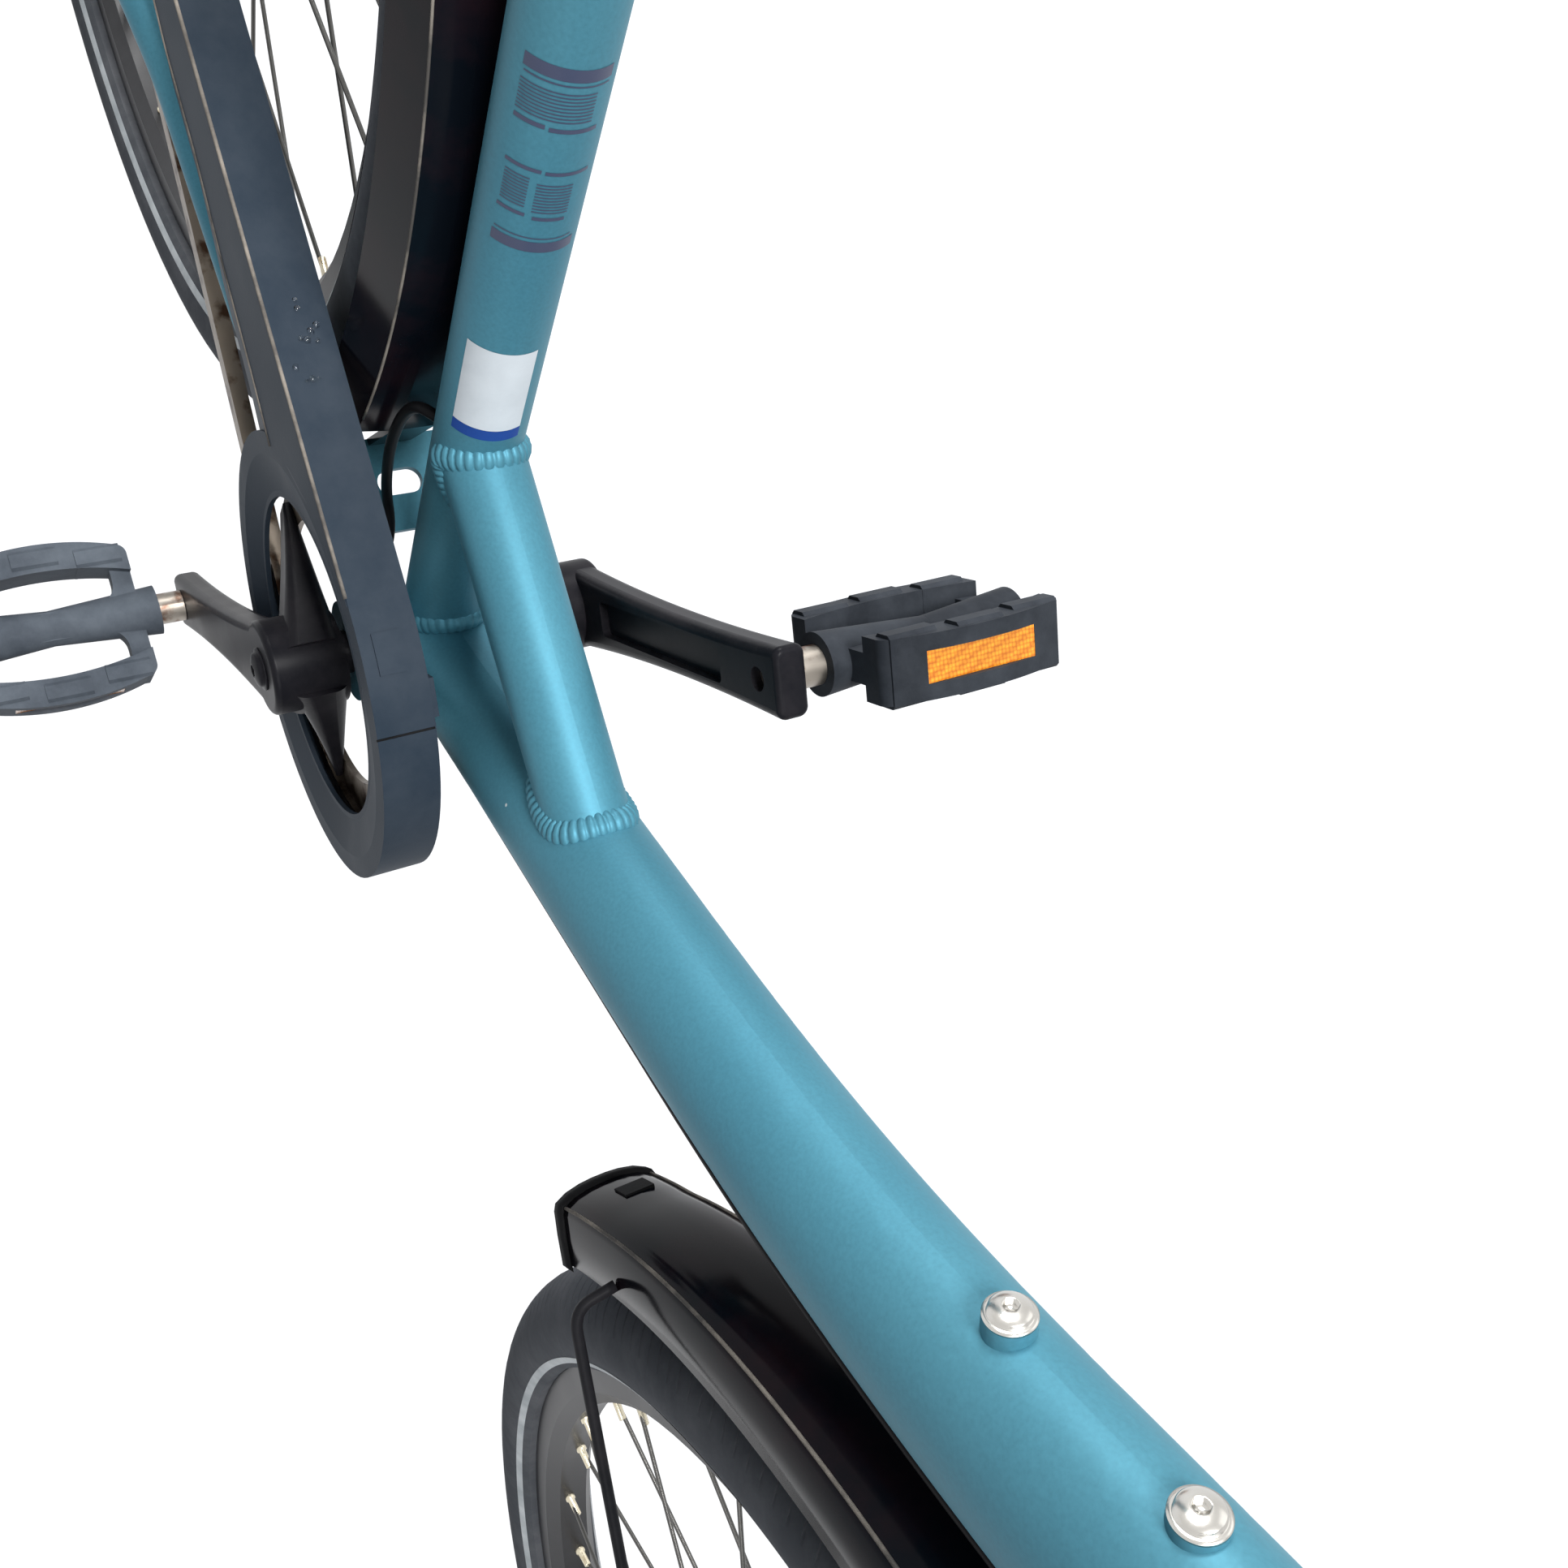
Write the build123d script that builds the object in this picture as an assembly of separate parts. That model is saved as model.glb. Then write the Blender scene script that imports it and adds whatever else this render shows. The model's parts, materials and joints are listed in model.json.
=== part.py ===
# City bicycle: a low aluminium step-through frame on 28 inch wheels, with full mudguards,
# a chain guard, a rear rack and disc brakes, parked leaning on its rear side stand.
# It is drawn upright round the bottom bracket, X forward, Y left, Z up, and leaned at the end.
from build123d import *
import os
from math import acos, atan2, cos, degrees, radians, sin, sqrt, tan

# Overrun of a cut past the solid, and the gaps left at seats, at pins and round moving pieces
overrun = 4.0
seat_gap = 0.3
running_gap = 0.05
moving_gap = 5.0

# Wheel places, from the bottom bracket axis
bead_radius = 311.0
tyre_section_height = 46.4
wheel_radius = bead_radius + tyre_section_height
axle_height = 41.1
chain_stay_length = 452.4
wheelbase = 1085.6
rear_axle_x = -sqrt(chain_stay_length**2 - axle_height**2)
front_axle_x = rear_axle_x + wheelbase

# Steering and seat lines
head_angle = 69.5
fork_offset = 45.0
seat_angle = 66.6

# Tyre, rim, spokes
tyre_width = 47.0
rim_flange_height = 6.0
rim_flange_thickness = 2.6
rim_inner_width = 20.6
rim_depth = 19.7
rim_base_width = 15.0
spoke_diameter = 2.0
spoke_count = 36
spoke_cross_angle = 60.0
spoke_flange_gap = 0.05

# Front hub
front_hub_spacing = 100.0
front_hub_flange_radius = 29.0
front_hub_flange_spread = 58.0
front_hub_shell_radius = 24.0
front_hub_nose_radius = 13.0

# Rear hub
rear_hub_spacing = 135.0
rear_hub_flange_radius = 45.0
rear_hub_flange_spread = 44.0
rear_hub_shell_radius = 38.0
rear_hub_nose_radius = 20.0
hub_flange_thickness = 3.4
hub_end_gap = 1.0
wheel_axle_radius = 5.0
axle_nut_radius = 9.5
axle_nut_length = 9.0

# Brake rotors
rotor_radius = 80.0
rotor_band = 13.0
rotor_thickness = 1.8
rotor_hub_radius = 24.0
rotor_arm_count = 6
rotor_arm_width = 7.0
front_rotor_from_dropout = 10.4
rear_rotor_from_dropout = 15.3

# Head tube and headset
crown_race_height = 436.0
headset_cup_height = 11.0
headset_radius = 25.0
head_tube_length = 170.0
head_tube_radius = 25.0
head_tube_bore = 21.0
steerer_radius = 14.3

# Down tube, drawn as a line with two bends
down_tube_start_angle = 46.4
down_tube_middle_angle = 59.4
down_tube_end_angle = 50.0
down_tube_low_bend = 326.0
down_tube_high_bend = 242.0
down_tube_bend_radius = 800.0
down_tube_head_height = 525.0
down_tube_low_width = 46.0
down_tube_low_height = 46.6
down_tube_bolt_width = 47.0
down_tube_bolt_height = 59.0
down_tube_head_width = 45.0
down_tube_head_height_across = 70.0

# Bottle bosses on the top of the down tube
boss_from_low_bend = 74.0
boss_spacing = 64.0
boss_radius = 7.2
boss_rise = 4.0
boss_hole_radius = 2.5
boss_hole_depth = 14.0

# Seat tube, brace and seat post
seat_tube_radius = 15.9
seat_tube_bore = 13.7
seat_tube_length = 480.0
seat_tube_bore_depth = 260.0
brace_radius = 15.7
brace_height_on_seat_tube = 124.0
brace_end_x = 103.0
brace_end_z = 120.0
seat_post_radius = 13.6
seat_post_length = 330.0
seat_post_insertion = 130.0
seat_clamp_radius = 19.5
seat_clamp_height = 20.0
seat_clamp_ear = 9.0

# Bottom bracket
shell_radius = 21.0
shell_length = 68.0
shell_bore = 17.0
cup_flange = 4.0
crank_axle_radius = 9.0

# Chain stays, seat stays and the plate for a centre stand
chain_stay_radius = 8.0
chain_stay_root_y = 22.0
chain_stay_ring_x = 72.0
chain_stay_ring_y = 27.5
chain_stay_bend_x = 130.0
chain_stay_bend_y = 41.5
chain_stay_waist_x = 235.0
chain_stay_waist_y = 48.5
chain_stay_knee_x = 350.0
chain_stay_knee_y = 66.5
chain_stay_end_y = 68.5
chain_stay_end_back = 28.0
chain_stay_bend_radii = [130.0, 130.0, 250.0, 220.0]
seat_stay_radius = 8.0
seat_stay_y = 44.0
seat_stay_bend_clearance = 13.0
seat_stay_bend_angle = 48.6
seat_stay_top_height = 410.0
seat_stay_top_y = 15.0
seat_stay_bend_radius = 36.0
seat_stay_start = 30.0
stay_bridge_radius = 5.0
plate_front_x = 44.0
plate_rear_x = 84.0
plate_thickness = 4.0
plate_top_z = 8.0
plate_slot_x = 64.6
plate_slot_length = 19.0
plate_slot_width = 11.0

# Rear dropouts
dropout_thickness = 6.0
dropout_radius = 17.0
dropout_reach_front = 46.0
dropout_reach_up = 44.0
dropout_lug_radius = 11.0

# Mudguards: the crease is the shoulder line seen in the section
rear_fender_tyre_gap = 20.6
rear_fender_crease_radius = wheel_radius + rear_fender_tyre_gap
rear_fender_crease_y = 26.6
front_fender_tyre_gap = 42.3
front_fender_crease_radius = wheel_radius + front_fender_tyre_gap
front_fender_crease_y = 29.8
rear_fender_crown = 1.5
front_fender_crown = 5.0
fender_skirt = 22.0
fender_skirt_flare = 5.0
fender_wall = 2.2
rear_fender_front_angle = 3.0
rear_fender_rear_angle = 197.0
front_fender_front_angle = 52.0
front_fender_rear_angle = 176.0
fender_flap_angle = 4.0
fender_flap_lip = 3.0
fender_stay_radius = 2.0

# Chain, sprockets and guard
chain_line = 42.0
chainring_pitch_radius = 76.8
sprocket_pitch_radius = 32.3
chain_height = 9.0
chain_width = 7.0
chainring_thickness = 2.4
chainring_band = 16.0
chainring_tooth_gap = 0.9
guard_radius = 92.4
guard_rear_radius = 41.3
guard_edge_y = 55.0
guard_inner_y = 33.0
guard_side_height = 24.0
guard_wall = 2.0
guard_window_radius = 66.0
guard_rear_wrap_angle = 58.0
guard_arm_width = 15.0
guard_arm_angle = 68.0

# Cranks and pedals
crank_length = 170.0
crank_phase_angle = 249.3
crank_outer_y = 72.9
crank_arm_thickness = 12.6
crank_arm_width_hub = 36.0
crank_arm_width_waist = 25.0
crank_arm_width_end = 27.0
crank_waist_share = 0.55
crank_edge_share = 0.3
crank_end_reach = 14.0
crank_end_fillet = 2.5
crank_boss_radius = 19.5
crank_pocket_start = 36.0
crank_pocket_end = 142.0
crank_pocket_width = 15.0
crank_pocket_depth = 3.5
spider_lobe_width_hub = 44.0
spider_lobe_width_knee = 26.0
spider_lobe_width_tip = 12.0
spider_knee_share = 0.5
spider_radius = 66.0
spider_thickness = 6.0
spider_arm_count = 3
spider_first_angle = 60.0
pedal_axle_sink = 4.0
pedal_axle_radius = 4.5
pedal_flat_radius = 7.5
pedal_flat_length = 12.0
pedal_width = 88.0
pedal_length = 76.0
pedal_bar_height = 24.0
pedal_bar_thickness = 13.0
pedal_bridge_width = 9.0
pedal_bridge_height = 12.0
pedal_barrel_radius = 8.5
pedal_bow = 7.0
pedal_corner_radius = 5.0
pedal_window_share = 0.8
pedal_block_shares = [-0.34, 0.0, 0.34]
pedal_block_width = 9.0
pedal_block_length = 20.0
pedal_block_rise = 1.4
reflector_sink = 2.6
pedal_window_corner = 9.0
pedal_barrel_end_radius = 12.0
reflector_width = 48.0
reflector_height = 12.0
reflector_depth = 5.0

# Fork and its fittings
fork_leg_y = 57.0
fork_leg_top_radius = 14.0
fork_leg_bottom_radius = 9.5
fork_crown_height = 26.0
fork_crown_radius = 22.0
fork_shoulder_radius = 30.0
fork_shoulder_drop = 4.0
fork_shoulder_share = 0.16
fork_end_thickness = 6.0
fork_end_radius = 15.0

# Stem, handlebar and controls
stem_stack = 34.0
stem_clamp_radius = 19.0
stem_reach = 78.0
stem_rise = 62.0
stem_bar_radius = 17.0
stem_width = 30.0
bar_radius = 11.1
bar_clamp_radius = 15.9
bar_clamp_length = 60.0
bar_half_width = 310.0
bar_rise = 45.0
bar_knee_y = 165.0
bar_knee_forward = 18.0
bar_sweep_back = 150.0
bar_bend_radius = 60.0
grip_length = 125.0
grip_radius = 16.5
lever_length = 105.0
lever_gap = 42.0
lever_clamp_width = 16.0
bell_radius = 22.0

# Lights
headlight_radius = 27.0
headlight_length = 52.0
rear_light_width = 92.0
rear_light_height = 42.0
rear_light_depth = 24.0

# Rear rack
rack_tube_radius = 5.0
rack_clearance = 22.0
rack_half_width = 62.0
rack_eye_height = 26.0

# Saddle
saddle_length = 262.0
saddle_width = 196.0
saddle_nose_width = 46.0
saddle_height = 40.0
saddle_above_clamp = 62.0
saddle_shift_back = 22.0
rail_radius = 3.5
rail_y = 22.0

# Brake calipers
caliper_length = 46.0
caliper_width = 30.0
caliper_depth = 26.0

# Side stand
stand_pivot_x = 384.0
stand_pivot_y = 95.0
stand_pivot_z = 4.0
stand_leg_radius = 8.0
stand_foot_radius = 14.0
stand_foot_thickness = 12.0
stand_foot_forward = 34.0
stand_splay = 118.0
stand_lean_angle = 9.0

# Cable that runs under the down tube
cable_radius = 2.5
cable_side = 12.0

# Shares and small sizes of the fittings
guard_notch_gap = 1.5
guard_chain_gap = 1.5
fender_bracket_overlap = 14.0
fender_strap_overlap = 3.0
fender_bracket_thickness = 3.0
fender_bracket_width = 18.0
fender_stay_seat = 0.2
fender_stay_end_share = 0.8
guard_band = 9.0
guard_dish = 3.0
crank_hub_inner_y = 42.0
pedal_axle_short = 14.0
pedal_shoulder = 8.0
pedal_cap = 8.0
right_pedal_tilt_angle = 0.0
left_pedal_tilt_angle = 70.0
bar_flat_y = 42.0
stem_neck_radius = 13.0
stem_wall = 3.0
stem_cap = 6.0
grip_cap = 4.0
lever_clamp_gap = 34.0
lever_clamp_wall = 5.0
lever_drop_share = 0.6
lever_body_radius = 6.5
lever_tip_radius = 4.5
bell_side = 23.0
bell_clamp_wall = 3.0
bell_clamp_width = 8.0
headlight_forward = 40.0
headlight_up = 22.0
headlight_fillet = 18.0
headlight_arm_radius = 6.0
rear_light_fillet = 9.0
rack_rear_behind_axle = 190.0
rack_front_before_axle = 190.0
rack_corner_radius = 30.0
rack_cross_shares = [0.0, 0.35, 0.7]
rack_rod_radius = 4.0
rack_cross_radius = 4.5
rack_leg_radius = 4.2
rack_leg_shares = [0.2, 0.75]
rack_arm_height = 440.0
seat_head_radius = 15.0
seat_head_width = 36.0
rail_front = 100.0
rail_back = 80.0
rail_flat = 38.0
rail_front_rise = 29.0
rail_back_rise = 21.0
rail_bend_radius = 30.0
saddle_round_share = 0.42
front_caliper_angle = 146.0
rear_caliper_angle = 21.0
caliper_fillet = 5.0
caliper_pad_gap = 1.2
caliper_inner_thickness = 8.0
caliper_bolt_shares = [-0.1, 0.35]
caliper_bolt_radius = 5.0
rear_mount_angle = -4.0
stand_stow_out_share = 0.03
stand_stow_down_share = 0.06
stand_plate_thickness = 5.0
stand_eye_length = 14.0
stand_eye_radius = 12.0
stand_pin_radius = 5.0
stand_pin_head = 3.0
cable_stand_off = 0.8
cable_tail = 46.0
cable_head_gap = 56.0
cable_bend_share = 0.9

# Columns: eyelet behind the axle, eyelet over the axle, angle of the end on the mudguard
rear_stay_rows = [
    (13.0, 6.0, 140.0),
    (14.0, -3.0, 186.0),
]
front_stay_rows = [
    (11.0, -8.0, 170.0),
]

# Derived places
rear_axle = Vector(rear_axle_x, 0, axle_height)
front_axle = Vector(front_axle_x, 0, axle_height)
steer_up = Vector(-cos(radians(head_angle)), 0, sin(radians(head_angle)))
steer_forward = Vector(sin(radians(head_angle)), 0, cos(radians(head_angle)))
steer_plane = Plane(origin=front_axle - steer_forward * fork_offset, x_dir=steer_forward, z_dir=steer_up)
seat_up = Vector(-cos(radians(seat_angle)), 0, sin(radians(seat_angle)))
seat_forward = Vector(sin(radians(seat_angle)), 0, cos(radians(seat_angle)))
seat_plane = Plane(origin=Vector(0, 0, 0), x_dir=seat_forward, z_dir=seat_up)
head_tube_bottom = crown_race_height + headset_cup_height
head_tube_top = head_tube_bottom + head_tube_length
stem_bottom = head_tube_top + headset_cup_height + seat_gap
nodes = {}


def steer_point(forward, side, up):
    """A place given along, beside and up the steering axis."""
    return steer_plane.from_local_coords(Vector(forward, side, up))


def rod(start, end, radius):
    """A round bar from one place to another."""
    run = Vector(end) - Vector(start)
    return extrude(Plane(origin=Vector(start), z_dir=run) * Circle(radius), amount=run.length)


def bent_rod(points, bend_radii, radius):
    """A round bar along straight runs joined by tangent arcs."""
    path = FilletPolyline(*points, radius=bend_radii)
    return sweep(Plane(origin=path @ 0, z_dir=path % 0) * Circle(radius), path=path)


def taper(start, end, radius_start, radius_end):
    """A round bar that narrows from one place to another."""
    run = Vector(end) - Vector(start)
    plane = Plane(origin=Vector(start), z_dir=run)
    return loft([plane * Circle(radius_start), plane.offset(run.length) * Circle(radius_end)])


def mirror_y(shape):
    """The same piece on the other side of the bicycle."""
    return mirror(shape, about=Plane.XZ)


def turned(profile_points, centre):
    """Turn an outline of (radius, y) points into a ring round the wheel axis at centre."""
    face = Plane.XY * make_face(Polyline(*profile_points, close=True))
    ring = revolve(face, axis=Axis.Y, revolution_arc=360)
    return Pos(*centre) * ring


def drum(centre, radius, y_low, y_high):
    """A cylinder along Y between two side places."""
    return rod(Vector(centre.X, y_low, centre.Z), Vector(centre.X, y_high, centre.Z), radius)


def ring(centre, radius, bore, y_low, y_high):
    """A cylinder along Y with a hole."""
    hole = drum(centre, bore, y_low - overrun, y_high + overrun)
    return drum(centre, radius, y_low, y_high) - hole


# Wheels


def make_tyre(centre):
    """The tyre: a round casing over the rim edge and two beads between the rim's flanges."""
    bulb_radius = tyre_width / 2
    bulb_centre = wheel_radius - bulb_radius
    seat = bead_radius + rim_flange_height + seat_gap
    bulb = Pos(bulb_centre, 0) * Circle(bulb_radius)
    keep_height = wheel_radius + overrun - seat
    keep = Pos(seat + keep_height / 2, 0) * Rectangle(keep_height, tyre_width + overrun)
    bead_height = bulb_centre - bead_radius
    bead = Pos(bead_radius + seat_gap + bead_height / 2, 0) * Rectangle(bead_height, rim_inner_width - 2 * seat_gap)
    profile = (bulb & keep) + bead
    return Pos(*centre) * revolve(profile, axis=Axis.Y, revolution_arc=360)


def make_rim(centre):
    """The rim: bead seat, two flanges and a narrowing well."""
    flange = bead_radius + rim_flange_height
    half_in = rim_inner_width / 2
    half_out = half_in + rim_flange_thickness
    inner = flange - rim_depth
    half_base = rim_base_width / 2
    mid = (bead_radius + inner) / 2
    right = [(flange, half_out), (mid, half_out), (inner, half_base)]
    left = [(inner, -half_base), (mid, -half_out), (flange, -half_out)]
    seat = [(flange, -half_in), (bead_radius, -half_in), (bead_radius, half_in), (flange, half_in)]
    return turned(right + left + seat, centre)


def make_spokes(centre, flange_radius, flange_spread):
    """Crossed spokes from both hub flanges to the rim, on either face of a flange in turn."""
    rim_radius = bead_radius + rim_flange_height - rim_depth - seat_gap
    hub_radius = flange_radius - hub_flange_thickness
    spokes = []
    for i in range(spoke_count):
        side = 1 if i % 2 == 0 else -1
        lean = 1 if (i // 2) % 2 == 0 else -1
        rim_turn = radians(i * 360 / spoke_count)
        hub_turn = rim_turn + lean * radians(spoke_cross_angle)
        start = Vector(hub_radius * cos(hub_turn), 0, hub_radius * sin(hub_turn))
        end = Vector(rim_radius * cos(rim_turn), 0, rim_radius * sin(rim_turn))
        run = end - start
        beside = lean * (hub_flange_thickness / 2 + spoke_diameter / 2 + spoke_flange_gap)
        hub_y = flange_spread / 2 + beside
        if lean > 0:
            # The spoke still lies outside its flange where it leaves the flange's edge
            inward = start.dot(run)
            reach = (flange_radius + spoke_diameter) ** 2 - hub_radius**2
            share = (sqrt(inward**2 + run.dot(run) * reach) - inward) / run.dot(run)
            hub_y = (hub_y - spoke_diameter * share) / (1 - share)
        start += Vector(0, side * hub_y, 0)
        end += Vector(0, side * spoke_diameter, 0)
        spokes.append(rod(centre + start, centre + end, spoke_diameter / 2))
    return Compound(children=spokes)


def make_hub(centre, spacing, flange_radius, flange_spread, shell_radius_, nose_radius):
    """A hub: shell, two spoke flanges and two narrow ends, bored for its axle."""
    half = spacing / 2 - hub_end_gap
    half_spread = flange_spread / 2
    half_flange = hub_flange_thickness / 2
    bore = wheel_axle_radius + running_gap
    side = [
        (bore, half),
        (nose_radius, half),
        (nose_radius, half_spread + half_flange),
        (flange_radius, half_spread + half_flange),
        (flange_radius, half_spread - half_flange),
        (shell_radius_, half_spread - half_flange),
    ]
    return turned(side + [(r, -y) for r, y in reversed(side)], centre)


def make_rotor(centre, y, arm_bore):
    """A brake rotor: a band, a hub ring and slanted arms."""
    band = ring(centre, rotor_radius, rotor_radius - rotor_band, y, y + rotor_thickness)
    core = ring(centre, rotor_hub_radius, arm_bore, y, y + rotor_thickness)
    rotor = band + core
    inner = (arm_bore + rotor_hub_radius) / 2
    outer = rotor_radius - rotor_band / 2
    slant = radians(360 / rotor_arm_count / 2)
    for i in range(rotor_arm_count):
        turn = radians(i * 360 / rotor_arm_count)
        a = Vector(centre.X + inner * cos(turn), y, centre.Z + inner * sin(turn))
        b = Vector(centre.X + outer * cos(turn + slant), y, centre.Z + outer * sin(turn + slant))
        run = b - a
        plane = Plane(origin=(a + b) * 0.5, x_dir=run, z_dir=Vector(0, 1, 0))
        rotor += extrude(plane * Rectangle(run.length, rotor_arm_width), amount=rotor_thickness)
    return rotor


def make_wheel(prefix, centre, spacing, flange_radius, flange_spread, shell_radius_, nose_radius, rotor_in):
    """One wheel with its brake rotor on the left."""
    nodes[prefix + "_tyre"] = make_tyre(centre)
    nodes[prefix + "_rim"] = make_rim(centre)
    nodes[prefix + "_spokes"] = make_spokes(centre, flange_radius, flange_spread)
    nodes[prefix + "_hub"] = make_hub(centre, spacing, flange_radius, flange_spread, shell_radius_, nose_radius)
    rotor_y = spacing / 2 - rotor_in
    nodes[prefix + "_rotor"] = make_rotor(centre, rotor_y, nose_radius + seat_gap)


# Frame tubes


def down_tube_path():
    """Corners of the down tube's centre line: low bend, high bend and the steering axis."""
    low = Vector(cos(radians(down_tube_start_angle)), 0, sin(radians(down_tube_start_angle)))
    middle = Vector(cos(radians(down_tube_middle_angle)), 0, sin(radians(down_tube_middle_angle)))
    low_bend = low * down_tube_low_bend
    high_bend = low_bend + middle * down_tube_high_bend
    end = steer_point(0, 0, down_tube_head_height)
    return low, middle, low_bend, high_bend, end


def tube_section(place, direction, width, height):
    """An oval section of the down tube across its centre line."""
    plane = Plane(origin=place, x_dir=Vector(0, 1, 0), z_dir=direction)
    return plane * Ellipse(width / 2, height / 2)


def make_down_tube():
    """The down tube: round at the bottom bracket, taller towards the head tube."""
    low, middle, low_bend, high_bend, end = down_tube_path()
    last = (end - high_bend).normalized()
    boss_low = low_bend + middle * boss_from_low_bend
    boss_high = boss_low + middle * boss_spacing
    turn_low = (low + middle).normalized()
    turn_high = (middle + last).normalized()
    bend_in = down_tube_bend_radius * tan(radians(down_tube_middle_angle - down_tube_start_angle) / 2)
    sag = bend_in * tan(radians(down_tube_middle_angle - down_tube_start_angle) / 4)
    mid_low = low_bend + Vector(-turn_low.Z, 0, turn_low.X) * sag
    high_in = bend_in / 2
    # Columns: place on the centre line, direction, width, height
    w0, h0 = down_tube_low_width, down_tube_low_height
    w1, h1 = down_tube_bolt_width, down_tube_bolt_height
    w2, h2 = down_tube_head_width, down_tube_head_height_across
    rows = [
        (Vector(0, 0, 0), low, w0, h0),
        (low * (down_tube_low_bend / 2), low, w0, h0),
        (low_bend - low * bend_in, low, w0, h0 + (h1 - h0) / 4),
        (mid_low, turn_low, (w0 + w1) / 2, h0 + (h1 - h0) / 2),
        (boss_low, middle, w1, h1),
        (high_bend - middle * high_in, middle, w1, h1 + (h2 - h1) / 2),
        (end, last, w2, h2),
    ]
    tube = loft([tube_section(*row) for row in rows])
    for place in (boss_low, boss_high):
        out = Vector(-middle.Z, 0, middle.X)
        plane = Plane(origin=place, z_dir=out)
        top = h1 / 2 + boss_rise
        tube += extrude(plane * Circle(boss_radius), amount=top)
    for place in (boss_low, boss_high):
        plane = Plane(origin=place + Vector(-middle.Z, 0, middle.X) * (h1 / 2 + boss_rise + overrun),
                      z_dir=Vector(middle.Z, 0, -middle.X))
        tube -= extrude(plane * Circle(boss_hole_radius), amount=boss_hole_depth + overrun)
    return tube


def make_frame():
    """The welded frame: head tube, down tube, seat tube, brace and bottom bracket shell."""
    head = rod(steer_point(0, 0, head_tube_bottom), steer_point(0, 0, head_tube_top), head_tube_radius)
    head_hole = rod(
        steer_point(0, 0, head_tube_bottom - overrun), steer_point(0, 0, head_tube_top + overrun), head_tube_bore
    )
    origin = Vector(0, 0, 0)
    shell_solid = drum(origin, shell_radius, -shell_length / 2, shell_length / 2)
    seat_solid = rod(origin, seat_up * seat_tube_length, seat_tube_radius)
    tube = make_down_tube() - head - seat_solid - shell_solid
    brace = rod(seat_up * brace_height_on_seat_tube, Vector(brace_end_x, 0, brace_end_z), brace_radius)
    nodes["head_tube"] = head - head_hole
    nodes["down_tube"] = tube.solids().sort_by(SortBy.VOLUME)[-1]
    nodes["brace_tube"] = (brace - seat_solid - tube).solids().sort_by(SortBy.VOLUME)[-1]
    bore = rod(seat_up * (seat_tube_length - seat_tube_bore_depth), seat_up * (seat_tube_length + overrun), seat_tube_bore)
    nodes["seat_tube"] = seat_solid - bore - shell_solid
    bore_bb = drum(origin, crank_axle_radius + running_gap, -shell_length, shell_length)
    shell = shell_solid
    for side in (-1, 1):
        face = side * shell_length / 2
        outer = side * (shell_length / 2 + cup_flange)
        shell += drum(origin, shell_radius - running_gap, min(face, outer), max(face, outer))
    nodes["bottom_bracket"] = shell - bore_bb
    cups = [
        (crown_race_height + seat_gap, head_tube_bottom),
        (head_tube_top, head_tube_top + headset_cup_height),
    ]
    headset = None
    for low, high in cups:
        cup = rod(steer_point(0, 0, low), steer_point(0, 0, high), headset_radius)
        hole = rod(
            steer_point(0, 0, low - overrun), steer_point(0, 0, high + overrun), steerer_radius + running_gap
        )
        cup = cup - hole
        headset = cup if headset is None else headset + cup
    nodes["headset"] = headset


def chain_stay_solid(side, radius):
    """One chain stay from the bottom bracket to beside the dropout."""
    # Columns: x, y
    corners = [
        (0, chain_stay_root_y),
        (-chain_stay_ring_x, chain_stay_ring_y),
        (-chain_stay_bend_x, chain_stay_bend_y),
        (-chain_stay_waist_x, chain_stay_waist_y),
        (-chain_stay_knee_x, chain_stay_knee_y),
        (rear_axle_x + chain_stay_end_back, chain_stay_end_y),
    ]
    rise = axle_height / -rear_axle_x
    return bent_rod([Vector(x, side * y, -x * rise) for x, y in corners], chain_stay_bend_radii, radius)


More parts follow.
